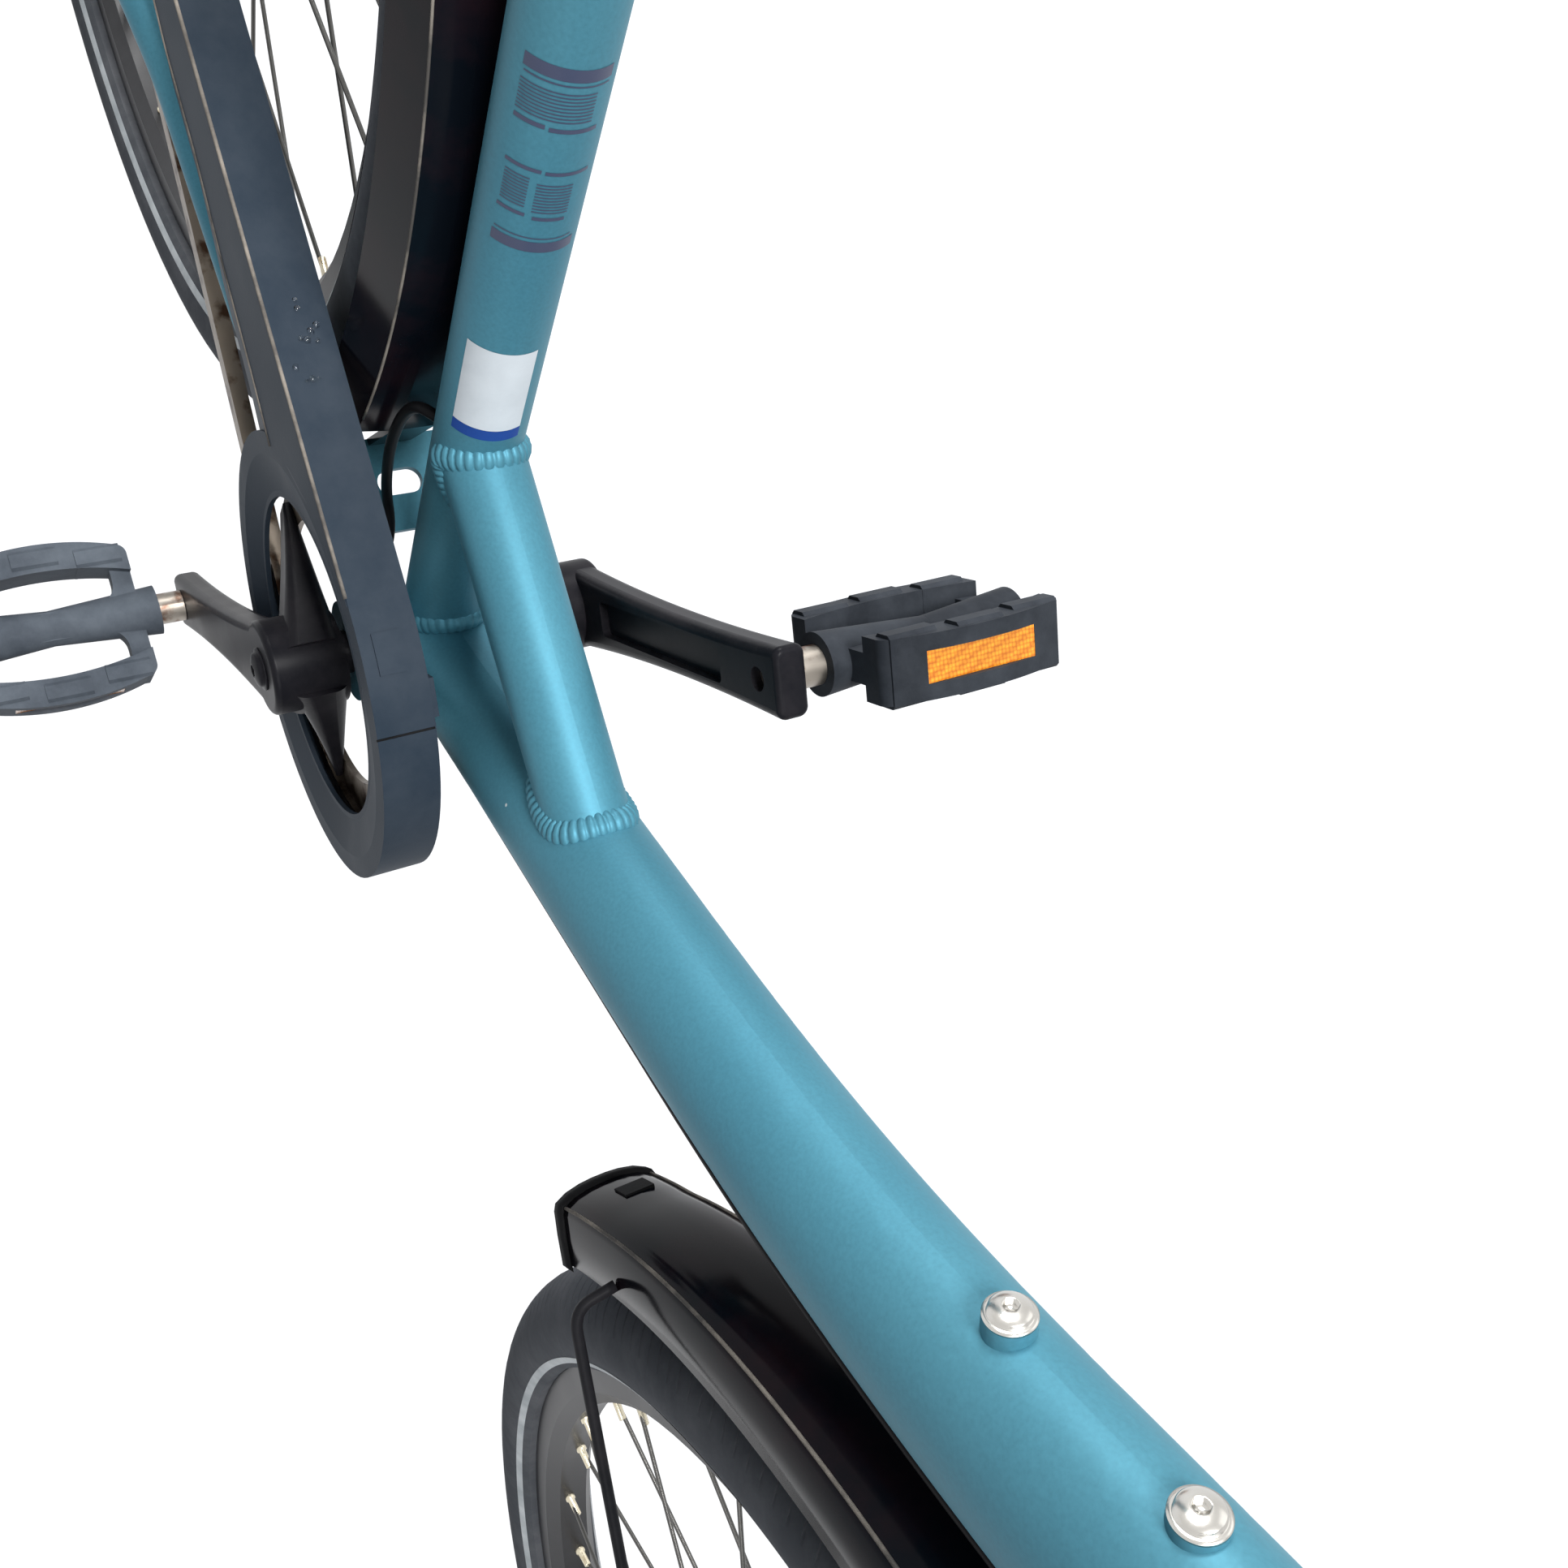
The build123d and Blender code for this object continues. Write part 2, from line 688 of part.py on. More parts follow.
def make_stays():
    """Chain stays with the stand plate, seat stays with their bridge, and the dropouts."""
    shell_reach = shell_length / 2 + cup_flange
    shell_solid = drum(Vector(0, 0, 0), shell_radius, -shell_reach, shell_reach)
    seat_solid = rod(Vector(0, 0, 0), seat_up * seat_tube_length, seat_tube_radius)
    half = rear_hub_spacing / 2
    left = chain_stay_solid(1, chain_stay_radius)
    wheel_side = drum(rear_axle, dropout_reach_front + dropout_lug_radius, -half, half)
    left = left - drum(rear_axle, chain_stay_end_back, -half, half)
    plate_length = plate_rear_x - plate_front_x
    plate_mid = -(plate_rear_x + plate_front_x) / 2
    plate_z = plate_top_z - plate_thickness
    plate = Plane(origin=Vector(plate_mid, 0, plate_z)) * Rectangle(plate_length, 2 * chain_stay_ring_y)
    slot = Plane(origin=Vector(-plate_slot_x, 0, plate_z)) * SlotOverall(
        plate_slot_length, plate_slot_width, rotation=90
    )
    plate = extrude(plate - slot, amount=plate_thickness)
    stays = left + mirror_y(left) + plate
    nodes["chain_stays"] = stays - shell_solid - seat_solid
    slope = Vector(cos(radians(seat_stay_bend_angle)), 0, sin(radians(seat_stay_bend_angle)))
    bend_radius = rear_fender_crease_radius + rear_fender_crown + seat_stay_bend_clearance
    knee = rear_axle + slope * bend_radius + Vector(0, seat_stay_y, 0)
    foot = rear_axle + slope * seat_stay_start + Vector(0, half, 0)
    top = seat_up * seat_stay_top_height + Vector(0, seat_stay_top_y, 0)
    stay = bent_rod([foot, knee, top], [seat_stay_bend_radius], seat_stay_radius)
    stay = stay - wheel_side
    bridge_place = rear_axle + slope * (bend_radius - seat_stay_radius / 2)
    bridge = drum(bridge_place, stay_bridge_radius, -seat_stay_y, seat_stay_y)
    seat_stays = stay + mirror_y(stay) + bridge
    nodes["seat_stays"] = seat_stays - seat_solid
    front = rear_axle + Vector(dropout_reach_front, 0, 0)
    up = rear_axle + slope * dropout_reach_up
    outline = [rear_axle, front, up]
    plane = Plane(origin=Vector(0, half, 0), x_dir=Vector(1, 0, 0), z_dir=Vector(0, 1, 0))
    circles = []
    for place, size in zip(outline, (dropout_radius, dropout_lug_radius, dropout_lug_radius)):
        circles.append(Pos(place.X, -place.Z) * Circle(size))
    shape = make_hull(Sketch(children=circles).edges())
    plate_left = extrude(plane * shape, amount=dropout_thickness)
    plate_left -= drum(rear_axle, wheel_axle_radius + running_gap, 0, rear_hub_spacing)
    plate_left -= nodes["chain_stays"]
    plate_left -= nodes["seat_stays"]
    plate_left = plate_left.solids().sort_by(SortBy.VOLUME)[-1]
    nodes["rear_dropouts"] = Compound(children=[plate_left, mirror_y(plate_left)])
    reach = half + dropout_thickness
    axle = drum(rear_axle, wheel_axle_radius, -reach - axle_nut_length, reach + axle_nut_length)
    for side in (-1, 1):
        low = side * (reach + seat_gap)
        high = side * (reach + axle_nut_length)
        axle += drum(rear_axle, axle_nut_radius, min(low, high), max(low, high))
    nodes["rear_axle"] = axle


# Mudguards


def fender_angle_point(centre, radius, angle, y):
    """A place on a wheel's circle, its angle counted upwards from forward."""
    return centre + Vector(radius * cos(radians(angle)), y, radius * sin(radians(angle)))


def make_fender_shell(centre, crease_radius, crease_y, crown, front_angle, rear_angle, lip):
    """An arched mudguard with two shoulder creases, turned part of the way round the axle."""
    crown_y = crease_y / 2
    skirt_y = crease_y + fender_skirt_flare
    outer = [
        (crease_radius - fender_skirt - lip, skirt_y + lip),
        (crease_radius + lip / 2, crease_y + lip),
        (crease_radius + crown + lip, crown_y),
    ]
    inner = [
        (crease_radius - fender_skirt - lip, skirt_y - fender_wall),
        (crease_radius - fender_wall, crease_y - fender_wall / 2),
        (crease_radius + crown - fender_wall, crown_y - fender_wall / 2),
    ]
    right_outer = [(r, -y) for r, y in reversed(outer)]
    right_inner = [(r, -y) for r, y in inner]
    outline = outer + right_outer + right_inner + list(reversed(inner))
    face = make_face(Polyline(*outline, close=True))
    arc = revolve(face, axis=Axis.Y, revolution_arc=rear_angle - front_angle)
    return Pos(*centre) * Rot(0, -rear_angle, 0) * arc


def make_fender_stays(centre, crease_radius, crease_y, anchor_y, rows):
    """Wire stays from eyelets beside the axle to the skirt of the mudguard, on both sides."""
    stays = []
    skirt_y = crease_y + fender_skirt_flare + fender_stay_radius - fender_stay_seat
    skirt_radius = crease_radius - fender_skirt * fender_stay_end_share
    for back, up, angle in rows:
        eyelet = centre + Vector(-back, anchor_y, up)
        wire = rod(eyelet, fender_angle_point(centre, skirt_radius, angle, skirt_y), fender_stay_radius)
        stays += [wire, mirror_y(wire)]
    return stays


def make_fenders():
    """Both mudguards with their brackets, the front flap and the wire stays."""
    crease = rear_fender_crease_radius
    rear = make_fender_shell(
        rear_axle, crease, rear_fender_crease_y, rear_fender_crown,
        rear_fender_front_angle, rear_fender_rear_angle, 0,
    )
    slope = Vector(cos(radians(seat_stay_bend_angle)), 0, sin(radians(seat_stay_bend_angle)))
    bend_radius = crease + rear_fender_crown + seat_stay_bend_clearance
    bridge_low = bend_radius - seat_stay_radius / 2 - stay_bridge_radius - seat_gap
    tab_low = crease + rear_fender_crown - fender_wall
    rear += rod(rear_axle + slope * tab_low, rear_axle + slope * bridge_low, stay_bridge_radius)
    foot = fender_angle_point(rear_axle, crease, rear_fender_front_angle, 0)
    strap_low = Vector(-plate_rear_x + fender_strap_overlap, 0, plate_top_z + seat_gap)
    strap_back = Vector(-fender_bracket_thickness, 0, 0)
    strap_top = Vector(foot.X, 0, foot.Z + fender_strap_overlap)
    corners = [strap_low, strap_low + strap_back, strap_top + strap_back, strap_top]
    outline = make_face(Polyline(*corners, close=True))
    rear += extrude(outline, amount=fender_bracket_width / 2, both=True)
    nodes["rear_fender"] = rear
    front = make_fender_shell(
        front_axle, front_fender_crease_radius, front_fender_crease_y, front_fender_crown,
        front_fender_front_angle, front_fender_rear_angle, 0,
    )
    strap_front = -fork_crown_radius - fender_bracket_thickness - seat_gap
    strap_low = crown_race_height - fork_crown_height - fender_bracket_overlap
    strap = Box(fender_bracket_thickness, fender_bracket_width, 2 * fender_bracket_overlap)
    strap = Pos(strap_front + fender_bracket_thickness / 2, 0, strap_low + fender_bracket_overlap) * strap
    front += steer_plane.location * strap
    nodes["front_fender"] = front
    nodes["front_mudflap"] = make_fender_shell(
        front_axle, front_fender_crease_radius, front_fender_crease_y, front_fender_crown,
        front_fender_rear_angle, front_fender_rear_angle + fender_flap_angle, fender_flap_lip,
    )
    anchor_y = rear_hub_spacing / 2 + dropout_thickness + fender_stay_radius + 2 * seat_gap
    stays = make_fender_stays(rear_axle, crease, rear_fender_crease_y, anchor_y, rear_stay_rows)
    nodes["rear_fender_stays"] = Compound(children=stays)
    anchor_y = front_hub_spacing / 2 + fork_end_thickness + fender_stay_radius + seat_gap
    stays = make_fender_stays(
        front_axle, front_fender_crease_radius, front_fender_crease_y, anchor_y, front_stay_rows
    )
    nodes["front_fender_stays"] = Compound(children=stays)


# Chain, chain guard, cranks and pedals


def belt_tangent(front_radius, rear_radius):
    """Angle of the normal that both upper tangent points share."""
    line = atan2(axle_height, rear_axle_x)
    return line - acos((front_radius - rear_radius) / chain_stay_length)


def belt(front_radius, rear_radius, y_low, y_high):
    """The slab inside a belt round the bottom bracket and the rear axle."""
    circles = Sketch(children=[Circle(front_radius), Pos(rear_axle_x, axle_height) * Circle(rear_radius)])
    face = Plane(origin=(0, y_high, 0), x_dir=(1, 0, 0), z_dir=(0, -1, 0)) * make_hull(circles.edges())
    return extrude(face, amount=y_high - y_low)


def make_chain():
    """The chain as one closed band round the chainring and the rear sprocket."""
    half_height = chain_height / 2
    y_low = -chain_line - chain_width / 2
    y_high = -chain_line + chain_width / 2
    outer = belt(chainring_pitch_radius + half_height, sprocket_pitch_radius + half_height, y_low, y_high)
    inner = belt(
        chainring_pitch_radius - half_height, sprocket_pitch_radius - half_height,
        y_low - overrun, y_high + overrun,
    )
    nodes["chain"] = outer - inner


def guard_profile(radius):
    """Wall outline of the guard as (radius, y): rim, flat edge band and dished face."""
    dish_y = guard_edge_y - guard_dish
    lip = radius - guard_side_height
    outer = [
        (radius, -guard_inner_y),
        (radius, -guard_edge_y),
        (radius - guard_band, -guard_edge_y),
        (lip, -dish_y),
    ]
    inner = [
        (lip, -dish_y + guard_wall),
        (radius - guard_band, -guard_edge_y + guard_wall),
        (radius - guard_wall, -guard_edge_y + guard_wall),
        (radius - guard_wall, -guard_inner_y),
    ]
    return outer + inner


def make_guard():
    """The chain guard: a ring round the chainring and a channel over the upper run."""
    ring_face = make_face(Polyline(*guard_profile(guard_radius), close=True))
    guard = revolve(ring_face, axis=Axis.Y, revolution_arc=360)
    face_y = -guard_edge_y + guard_dish
    plate = ring(Vector(0, 0, 0), guard_radius - guard_side_height + seat_gap, guard_window_radius, face_y, face_y + guard_wall)
    guard += plate
    turn = belt_tangent(guard_radius, guard_rear_radius)
    normal = Vector(cos(turn), 0, sin(turn))
    start = normal * guard_radius
    end = rear_axle + normal * guard_rear_radius
    run = end - start
    section = [(r - guard_radius, y) for r, y in guard_profile(guard_radius)]
    plane = Plane(origin=start, x_dir=normal, z_dir=normal.cross(Vector(0, 1, 0)))
    channel = extrude(plane * make_face(Polyline(*section, close=True)), amount=run.length)
    if (channel.center() - start).dot(run) < 0:
        channel = extrude(plane * make_face(Polyline(*section, close=True)), amount=-run.length)
    guard += channel
    rear_face = make_face(Polyline(*guard_profile(guard_rear_radius), close=True))
    rear_wrap = revolve(rear_face, axis=Axis.Y, revolution_arc=guard_rear_wrap_angle)
    rear_turn = degrees(turn) + guard_rear_wrap_angle
    guard += Pos(*rear_axle) * Rot(0, -rear_turn, 0) * rear_wrap
    arm_length = guard_radius - guard_wall / 2 - shell_radius - seat_gap
    arm = Box(arm_length, guard_wall, guard_arm_width)
    arm = Pos(shell_radius + seat_gap + arm_length / 2, -guard_inner_y + guard_wall / 2, 0) * arm
    guard += Rot(0, -guard_arm_angle, 0) * arm
    chain_reach = chain_height / 2 + guard_chain_gap
    guard -= belt(chainring_pitch_radius + chain_reach, sprocket_pitch_radius + chain_reach, face_y + guard_wall, -guard_inner_y)
    guard -= chain_stay_solid(-1, chain_stay_radius + guard_notch_gap)
    guard -= drum(rear_axle, rear_hub_nose_radius + moving_gap, -rear_hub_spacing / 2, 0)
    nodes["chain_guard"] = guard.solids().sort_by(SortBy.VOLUME)[-1]


def crank_direction():
    """The way the right crank points."""
    return Vector(cos(radians(crank_phase_angle)), 0, sin(radians(crank_phase_angle)))


def crank_section(direction, along, width, y_low, y_high):
    """A rounded cross-section of a crank arm or spider lobe at a distance along it."""
    middle = direction * along + Vector(0, (y_low + y_high) / 2, 0)
    across = direction.cross(Vector(0, 1, 0))
    plane = Plane(origin=middle, x_dir=across, z_dir=direction)
    thick = y_high - y_low
    return plane * RectangleRounded(width, thick, min(width, thick) * crank_edge_share)


def crank_arm(direction, side):
    """A crank arm from the axle to its squared pedal end, waisted in the middle, with the pedal hole."""
    outer = crank_outer_y
    inner = crank_outer_y - crank_arm_thickness
    low, high = min(side * inner, side * outer), max(side * inner, side * outer)
    # Columns: distance along the arm, width
    rows = [
        (0, crank_arm_width_hub),
        (crank_length * crank_waist_share, crank_arm_width_waist),
        (crank_length + crank_end_reach, crank_arm_width_end),
    ]
    arm = loft([crank_section(direction, along, width, low, high) for along, width in rows])
    end_face = arm.faces().sort_by(Axis((0, 0, 0), direction))[-1]
    arm = fillet(end_face.edges(), crank_end_fillet)
    return arm - drum(direction * crank_length, pedal_axle_radius + running_gap, low - overrun, high + overrun)


def spider_lobe(turn):
    """One lobe of the spider, sloping from the crank's boss down to the chainring."""
    direction = Vector(cos(radians(turn)), 0, sin(radians(turn)))
    face = -chain_line - chainring_thickness / 2
    # Columns: distance from the axle, width, outer side place
    rows = [
        (0, spider_lobe_width_hub, -crank_outer_y + crank_arm_thickness / 2),
        (spider_radius * spider_knee_share, spider_lobe_width_knee, face - spider_thickness * 2),
        (spider_radius, spider_lobe_width_tip, face - spider_thickness / 2),
    ]
    return loft([crank_section(direction, along, width, outer, face) for along, width, outer in rows])


def make_cranks():
    """Right crank with its spider, chainring, left crank with the axle, and the pedal axles."""
    out = crank_direction()
    origin = Vector(0, 0, 0)
    inner_y = crank_outer_y - crank_arm_thickness
    face = -chain_line - chainring_thickness / 2
    right = crank_arm(out, -1)
    boss = drum(origin, crank_boss_radius, -crank_outer_y, face)
    right += fillet(boss.edges().filter_by(GeomType.CIRCLE).sort_by(Axis.Y)[0], crank_end_fillet)
    for i in range(spider_arm_count):
        right += spider_lobe(crank_phase_angle + spider_first_angle + i * 360 / spider_arm_count)
    right -= drum(origin, crank_axle_radius + running_gap, -inner_y - seat_gap, 0)
    nodes["crank_right"] = right
    ring_outer = chainring_pitch_radius - chain_height / 2 - chainring_tooth_gap
    half = chainring_thickness / 2
    chainring = ring(origin, ring_outer, ring_outer - chainring_band, -chain_line - half, -chain_line + half)
    nodes["chainring"] = chainring
    left = crank_arm(out * -1, 1)
    boss = drum(origin, crank_boss_radius, crank_hub_inner_y, crank_outer_y)
    left += fillet(boss.edges().filter_by(GeomType.CIRCLE).sort_by(Axis.Y)[-1], crank_end_fillet)
    left += drum(origin, crank_axle_radius, -inner_y, inner_y)
    pocket_length = crank_pocket_end - crank_pocket_start
    pocket_middle = out * -(crank_pocket_start + pocket_length / 2) + Vector(0, inner_y + crank_pocket_depth, 0)
    pocket_plane = Plane(origin=pocket_middle, x_dir=out.cross(Vector(0, 1, 0)), z_dir=Vector(0, -1, 0))
    pocket = pocket_plane * RectangleRounded(crank_pocket_width, pocket_length, crank_end_fillet)
    left -= extrude(pocket, amount=crank_pocket_depth + overrun)
    nodes["crank_left"] = left
    axles = []
    for side, way in ((-1, out), (1, out * -1)):
        place = way * crank_length
        low = side * (inner_y + pedal_axle_sink)
        high = side * (crank_outer_y + pedal_flat_length + pedal_width - pedal_axle_short)
        axle = drum(place, pedal_axle_radius, min(low, high), max(low, high))
        low = side * (crank_outer_y + seat_gap)
        high = side * (crank_outer_y + pedal_flat_length)
        axle += drum(place, pedal_flat_radius, min(low, high), max(low, high))
        axles.append(axle)
    nodes["pedal_axles"] = Compound(children=axles)


def pedal_outline(start, end, reach, bow):
    """The pedal's outline from above: straight ends and two bowed sides."""
    middle = (start + end) / 2
    corner = reach - bow
    top = ThreePointArc((-corner, start), (-reach, middle), (-corner, end))
    bottom = ThreePointArc((corner, end), (reach, middle), (corner, start))
    rim = [top, Line((-corner, end), (corner, end)), bottom, Line((corner, start), (-corner, start))]
    return make_face(rim)


def make_pedal(side, place, tilt):
    """A pedal: flared barrel, two bowed tread bars and struts, with reflectors let into the bars."""
    start = crank_outer_y + pedal_flat_length + running_gap
    bars_start = start + pedal_shoulder
    end = start + pedal_width
    bar_x = pedal_length / 2
    bar_mid = (bars_start + end) / 2
    outline = pedal_outline(bars_start, end, bar_x, pedal_bow)
    outline = fillet(outline.vertices(), pedal_corner_radius)
    inside = pedal_outline(bars_start - overrun, end + overrun, bar_x - pedal_bar_thickness, pedal_bow)
    bars = extrude(outline - inside, amount=pedal_bar_height / 2, both=True)
    window_long = end - bars_start - 2 * pedal_bridge_width
    window_wide = bar_x - pedal_bar_thickness / 2 - pedal_barrel_radius * pedal_window_share
    plate = outline
    for way in (-1, 1):
        window_x = way * (pedal_barrel_radius * pedal_window_share + window_wide / 2)
        plate -= Pos(window_x, bar_mid) * RectangleRounded(window_wide, window_long, pedal_window_corner)
    body = extrude(plate, amount=pedal_bridge_height / 2, both=True) + bars
    body += taper(Vector(0, start, 0), Vector(0, bar_mid, 0), pedal_barrel_end_radius, pedal_barrel_radius)
    body += taper(Vector(0, bar_mid, 0), Vector(0, end, 0), pedal_barrel_radius, pedal_barrel_end_radius)
    for way in (-1, 1):
        for share in pedal_block_shares:
            block_y = bar_mid + share * (end - bars_start)
            block_x = way * (bar_x - pedal_bar_thickness / 2 - pedal_bow * (2 * share) ** 2)
            block_tall = pedal_bar_height + 2 * pedal_block_rise
            block = Pos(block_x, block_y, 0) * Box(pedal_block_width, pedal_block_length, block_tall)
            body += chamfer(block.edges().filter_by(Axis.Y), pedal_block_rise)
    for way in (-1, 1):
        pocket_x = way * (bar_x - (reflector_depth - overrun) / 2)
        body -= Pos(pocket_x, bar_mid, 0) * Box(reflector_depth + overrun, reflector_width, reflector_height)
    body -= drum(Vector(0, 0, 0), pedal_axle_radius + running_gap, start - overrun, end - pedal_cap)
    reflectors = []
    for way in (-1, 1):
        thin = reflector_depth - reflector_sink - running_gap
        plate = Box(thin, reflector_width - 2 * running_gap, reflector_height - 2 * running_gap)
        reflectors.append(Pos(way * (bar_x - reflector_sink - thin / 2), bar_mid, 0) * plate)
    turn = Rot(0, -tilt, 0)
    made = []
    for shape in [body] + reflectors:
        shape = Pos(place.X, 0, place.Z) * turn * shape
        made.append(shape if side > 0 else mirror_y(shape))
    return made[0], Compound(children=made[1:])


def make_pedals():
    """Both pedals at the ends of the cranks."""
    out = crank_direction() * crank_length
    nodes["pedal_right"], nodes["pedal_right_reflectors"] = make_pedal(-1, out, right_pedal_tilt_angle)
    nodes["pedal_left"], nodes["pedal_left_reflectors"] = make_pedal(1, out * -1, left_pedal_tilt_angle)


# Fork, stem, handlebar and what they carry


def make_fork():
    """The fork: steerer, crown, two tapering legs and the fork ends."""
    crown_low = crown_race_height - fork_crown_height
    crown = Pos(0, 0, crown_low) * Cylinder(
        fork_crown_radius, fork_crown_height, align=(Align.CENTER, Align.CENTER, Align.MIN)
    )
    steerer = Pos(0, 0, crown_race_height - overrun) * Cylinder(
        steerer_radius, stem_bottom + stem_stack - crown_race_height + overrun,
        align=(Align.CENTER, Align.CENTER, Align.MIN),
    )
    fork = steer_plane.location * (crown + steerer)
    end_in = front_hub_spacing / 2
    for side in (-1, 1):
        shoulder_z = crown_race_height - fork_shoulder_drop - fork_leg_top_radius
        inside = steer_point(0, side * fork_leg_top_radius / 2, shoulder_z)
        corner = steer_point(0, side * fork_leg_y, shoulder_z)
        foot = steer_point(fork_offset - fork_end_radius / 2, side * fork_leg_y, fork_end_radius)
        leg = foot - corner
        knee = corner + leg * fork_shoulder_share
        fork += bent_rod([inside, corner, knee], [fork_shoulder_radius], fork_leg_top_radius)
        fork += taper(knee, foot, fork_leg_top_radius, fork_leg_bottom_radius)
        low = side * end_in
        high = side * (end_in + fork_end_thickness)
        circles = Sketch(children=[
            Pos(front_axle.X, front_axle.Z) * Circle(fork_end_radius),
            Pos(foot.X, foot.Z) * Circle(fork_leg_bottom_radius),
        ])
        plane = Plane(origin=(0, max(low, high), 0), x_dir=(1, 0, 0), z_dir=(0, -1, 0))
        fork += extrude(plane * make_hull(circles.edges()), amount=fork_end_thickness)
    fork -= drum(front_axle, wheel_axle_radius + running_gap, -front_hub_spacing, front_hub_spacing)
    nodes["fork"] = fork
    reach = front_hub_spacing / 2 + fork_end_thickness
    axle = drum(front_axle, wheel_axle_radius, -reach - axle_nut_length, reach + axle_nut_length)
    for side in (-1, 1):
        low = side * (reach + seat_gap)
        high = side * (reach + axle_nut_length)
        axle += drum(front_axle, axle_nut_radius, min(low, high), max(low, high))
    nodes["front_axle"] = axle


def bar_centre():
    """Middle of the handlebar."""
    return steer_point(stem_reach, 0, stem_bottom + stem_rise)


def bar_points():
    """Corners of the handlebar's centre line, from the right end to the left."""
    mid = bar_centre()
    end = Vector(-bar_sweep_back + bar_knee_forward, bar_half_width, bar_rise)
    knee = Vector(bar_knee_forward, bar_knee_y, bar_rise)
    flat = Vector(0, bar_flat_y, 0)
    right = [mid + Vector(p.X, -p.Y, p.Z) for p in (end, knee, flat)]
    left = [mid + p for p in (flat, knee, end)]
    return right + left


def make_cockpit():
    """Stem, handlebar, grips, shifter ring, brake levers and bell."""
    centre = bar_centre()
    points = bar_points()
    bar = bent_rod(points, [bar_bend_radius] * (len(points) - 2), bar_radius)
    sleeve = drum(centre, bar_clamp_radius, -bar_clamp_length / 2, bar_clamp_length / 2)
    nodes["handlebar"] = bar + sleeve
    post = rod(steer_point(0, 0, stem_bottom), steer_point(0, 0, stem_bottom + stem_stack), stem_clamp_radius)
    neck = rod(steer_point(0, 0, stem_bottom + stem_stack / 2), centre, stem_neck_radius)
    clamp = drum(centre, stem_bar_radius + stem_wall, -stem_width / 2, stem_width / 2)
    stem = post + neck + clamp
    stem -= drum(centre, bar_clamp_radius + running_gap, -bar_clamp_length, bar_clamp_length)
    hole = steerer_radius + running_gap
    stem -= rod(steer_point(0, 0, stem_bottom - overrun), steer_point(0, 0, stem_bottom + stem_stack + seat_gap), hole)
    cap = rod(steer_point(0, 0, stem_bottom + stem_stack + seat_gap), steer_point(0, 0, stem_bottom + stem_stack + stem_cap), stem_clamp_radius)
    nodes["stem"] = (stem + cap).solids().sort_by(SortBy.VOLUME)[-1]
    grips = []
    levers = []
    for side, end, knee in ((-1, points[0], points[1]), (1, points[-1], points[-2])):
        along = (knee - end).normalized()
        back = end - along * grip_cap
        grip = rod(back, end + along * grip_length, grip_radius)
        grip -= rod(end - along * running_gap, end + along * (grip_length + overrun), bar_radius + running_gap)
        grips.append(grip)
        start = end + along * (grip_length + lever_clamp_gap)
        clamp = rod(start, start + along * lever_clamp_width, bar_radius + lever_clamp_wall)
        ahead = Vector(0, 0, 1).cross(along) * side
        ahead = (ahead + Vector(0, 0, -lever_drop_share)).normalized()
        mid = start + along * (lever_clamp_width / 2)
        elbow = mid + ahead * lever_gap
        body = rod(mid, elbow, lever_body_radius)
        blade = taper(elbow, elbow - along * lever_length, lever_body_radius, lever_tip_radius)
        lever = clamp + body + blade
        lever -= rod(start - along * overrun, start + along * (lever_clamp_width + overrun), bar_radius + running_gap)
        levers.append(lever)
    nodes["grips"] = Compound(children=grips)
    nodes["brake_levers"] = Compound(children=levers)
    place = centre + Vector(0, bell_side, 0)
    clamp = drum(place, bar_clamp_radius + bell_clamp_wall, bell_side - bell_clamp_width / 2, bell_side + bell_clamp_width / 2)
    clamp -= drum(place, bar_clamp_radius + running_gap, bell_side - bell_clamp_width, bell_side + bell_clamp_width)
    base = place + Vector(0, 0, bar_clamp_radius + bell_clamp_wall / 2)
    dome_place = base + Vector(0, 0, bell_clamp_wall)
    dome = Pos(*dome_place) * Sphere(bell_radius)
    dome -= Pos(dome_place.X, dome_place.Y, dome_place.Z - bell_radius) * Box(3 * bell_radius, 3 * bell_radius, 2 * bell_radius)
    stalk = rod(base, base + Vector(0, 0, bell_clamp_wall + overrun), bell_clamp_width / 2)
    nodes["bell"] = clamp + stalk + dome


def make_lights():
    """Headlight on the fork crown and rear light on the rack."""
    middle = steer_point(fork_crown_radius + headlight_forward, 0, crown_race_height + headlight_up)
    body = rod(middle - Vector(headlight_length / 2, 0, 0), middle + Vector(headlight_length / 2, 0, 0), headlight_radius)
    body = fillet(body.edges().sort_by(Axis.X)[0], headlight_fillet)
    mount_z = crown_race_height - fork_crown_height / 2
    foot = steer_point(fork_crown_radius, 0, mount_z)
    body += rod(foot, middle, headlight_arm_radius)
    crown = rod(steer_point(0, 0, mount_z - headlight_radius), steer_point(0, 0, mount_z + headlight_radius), fork_crown_radius + seat_gap)
    nodes["headlight"] = body - crown
    rear = Box(rear_light_depth, rear_light_width, rear_light_height)
    rear = fillet(rear.edges().filter_by(Axis.X), rear_light_fillet)
    place_x = rear_axle_x - rack_rear_behind_axle - rack_tube_radius - rear_light_depth / 2 - seat_gap
    nodes["rear_light"] = Pos(place_x, 0, rack_z() - rear_light_height / 2 + rack_tube_radius) * rear


def rack_z():
    """Height of the rack's rods over the bottom bracket."""
    return axle_height + rear_fender_crease_radius + rear_fender_crown + rack_clearance


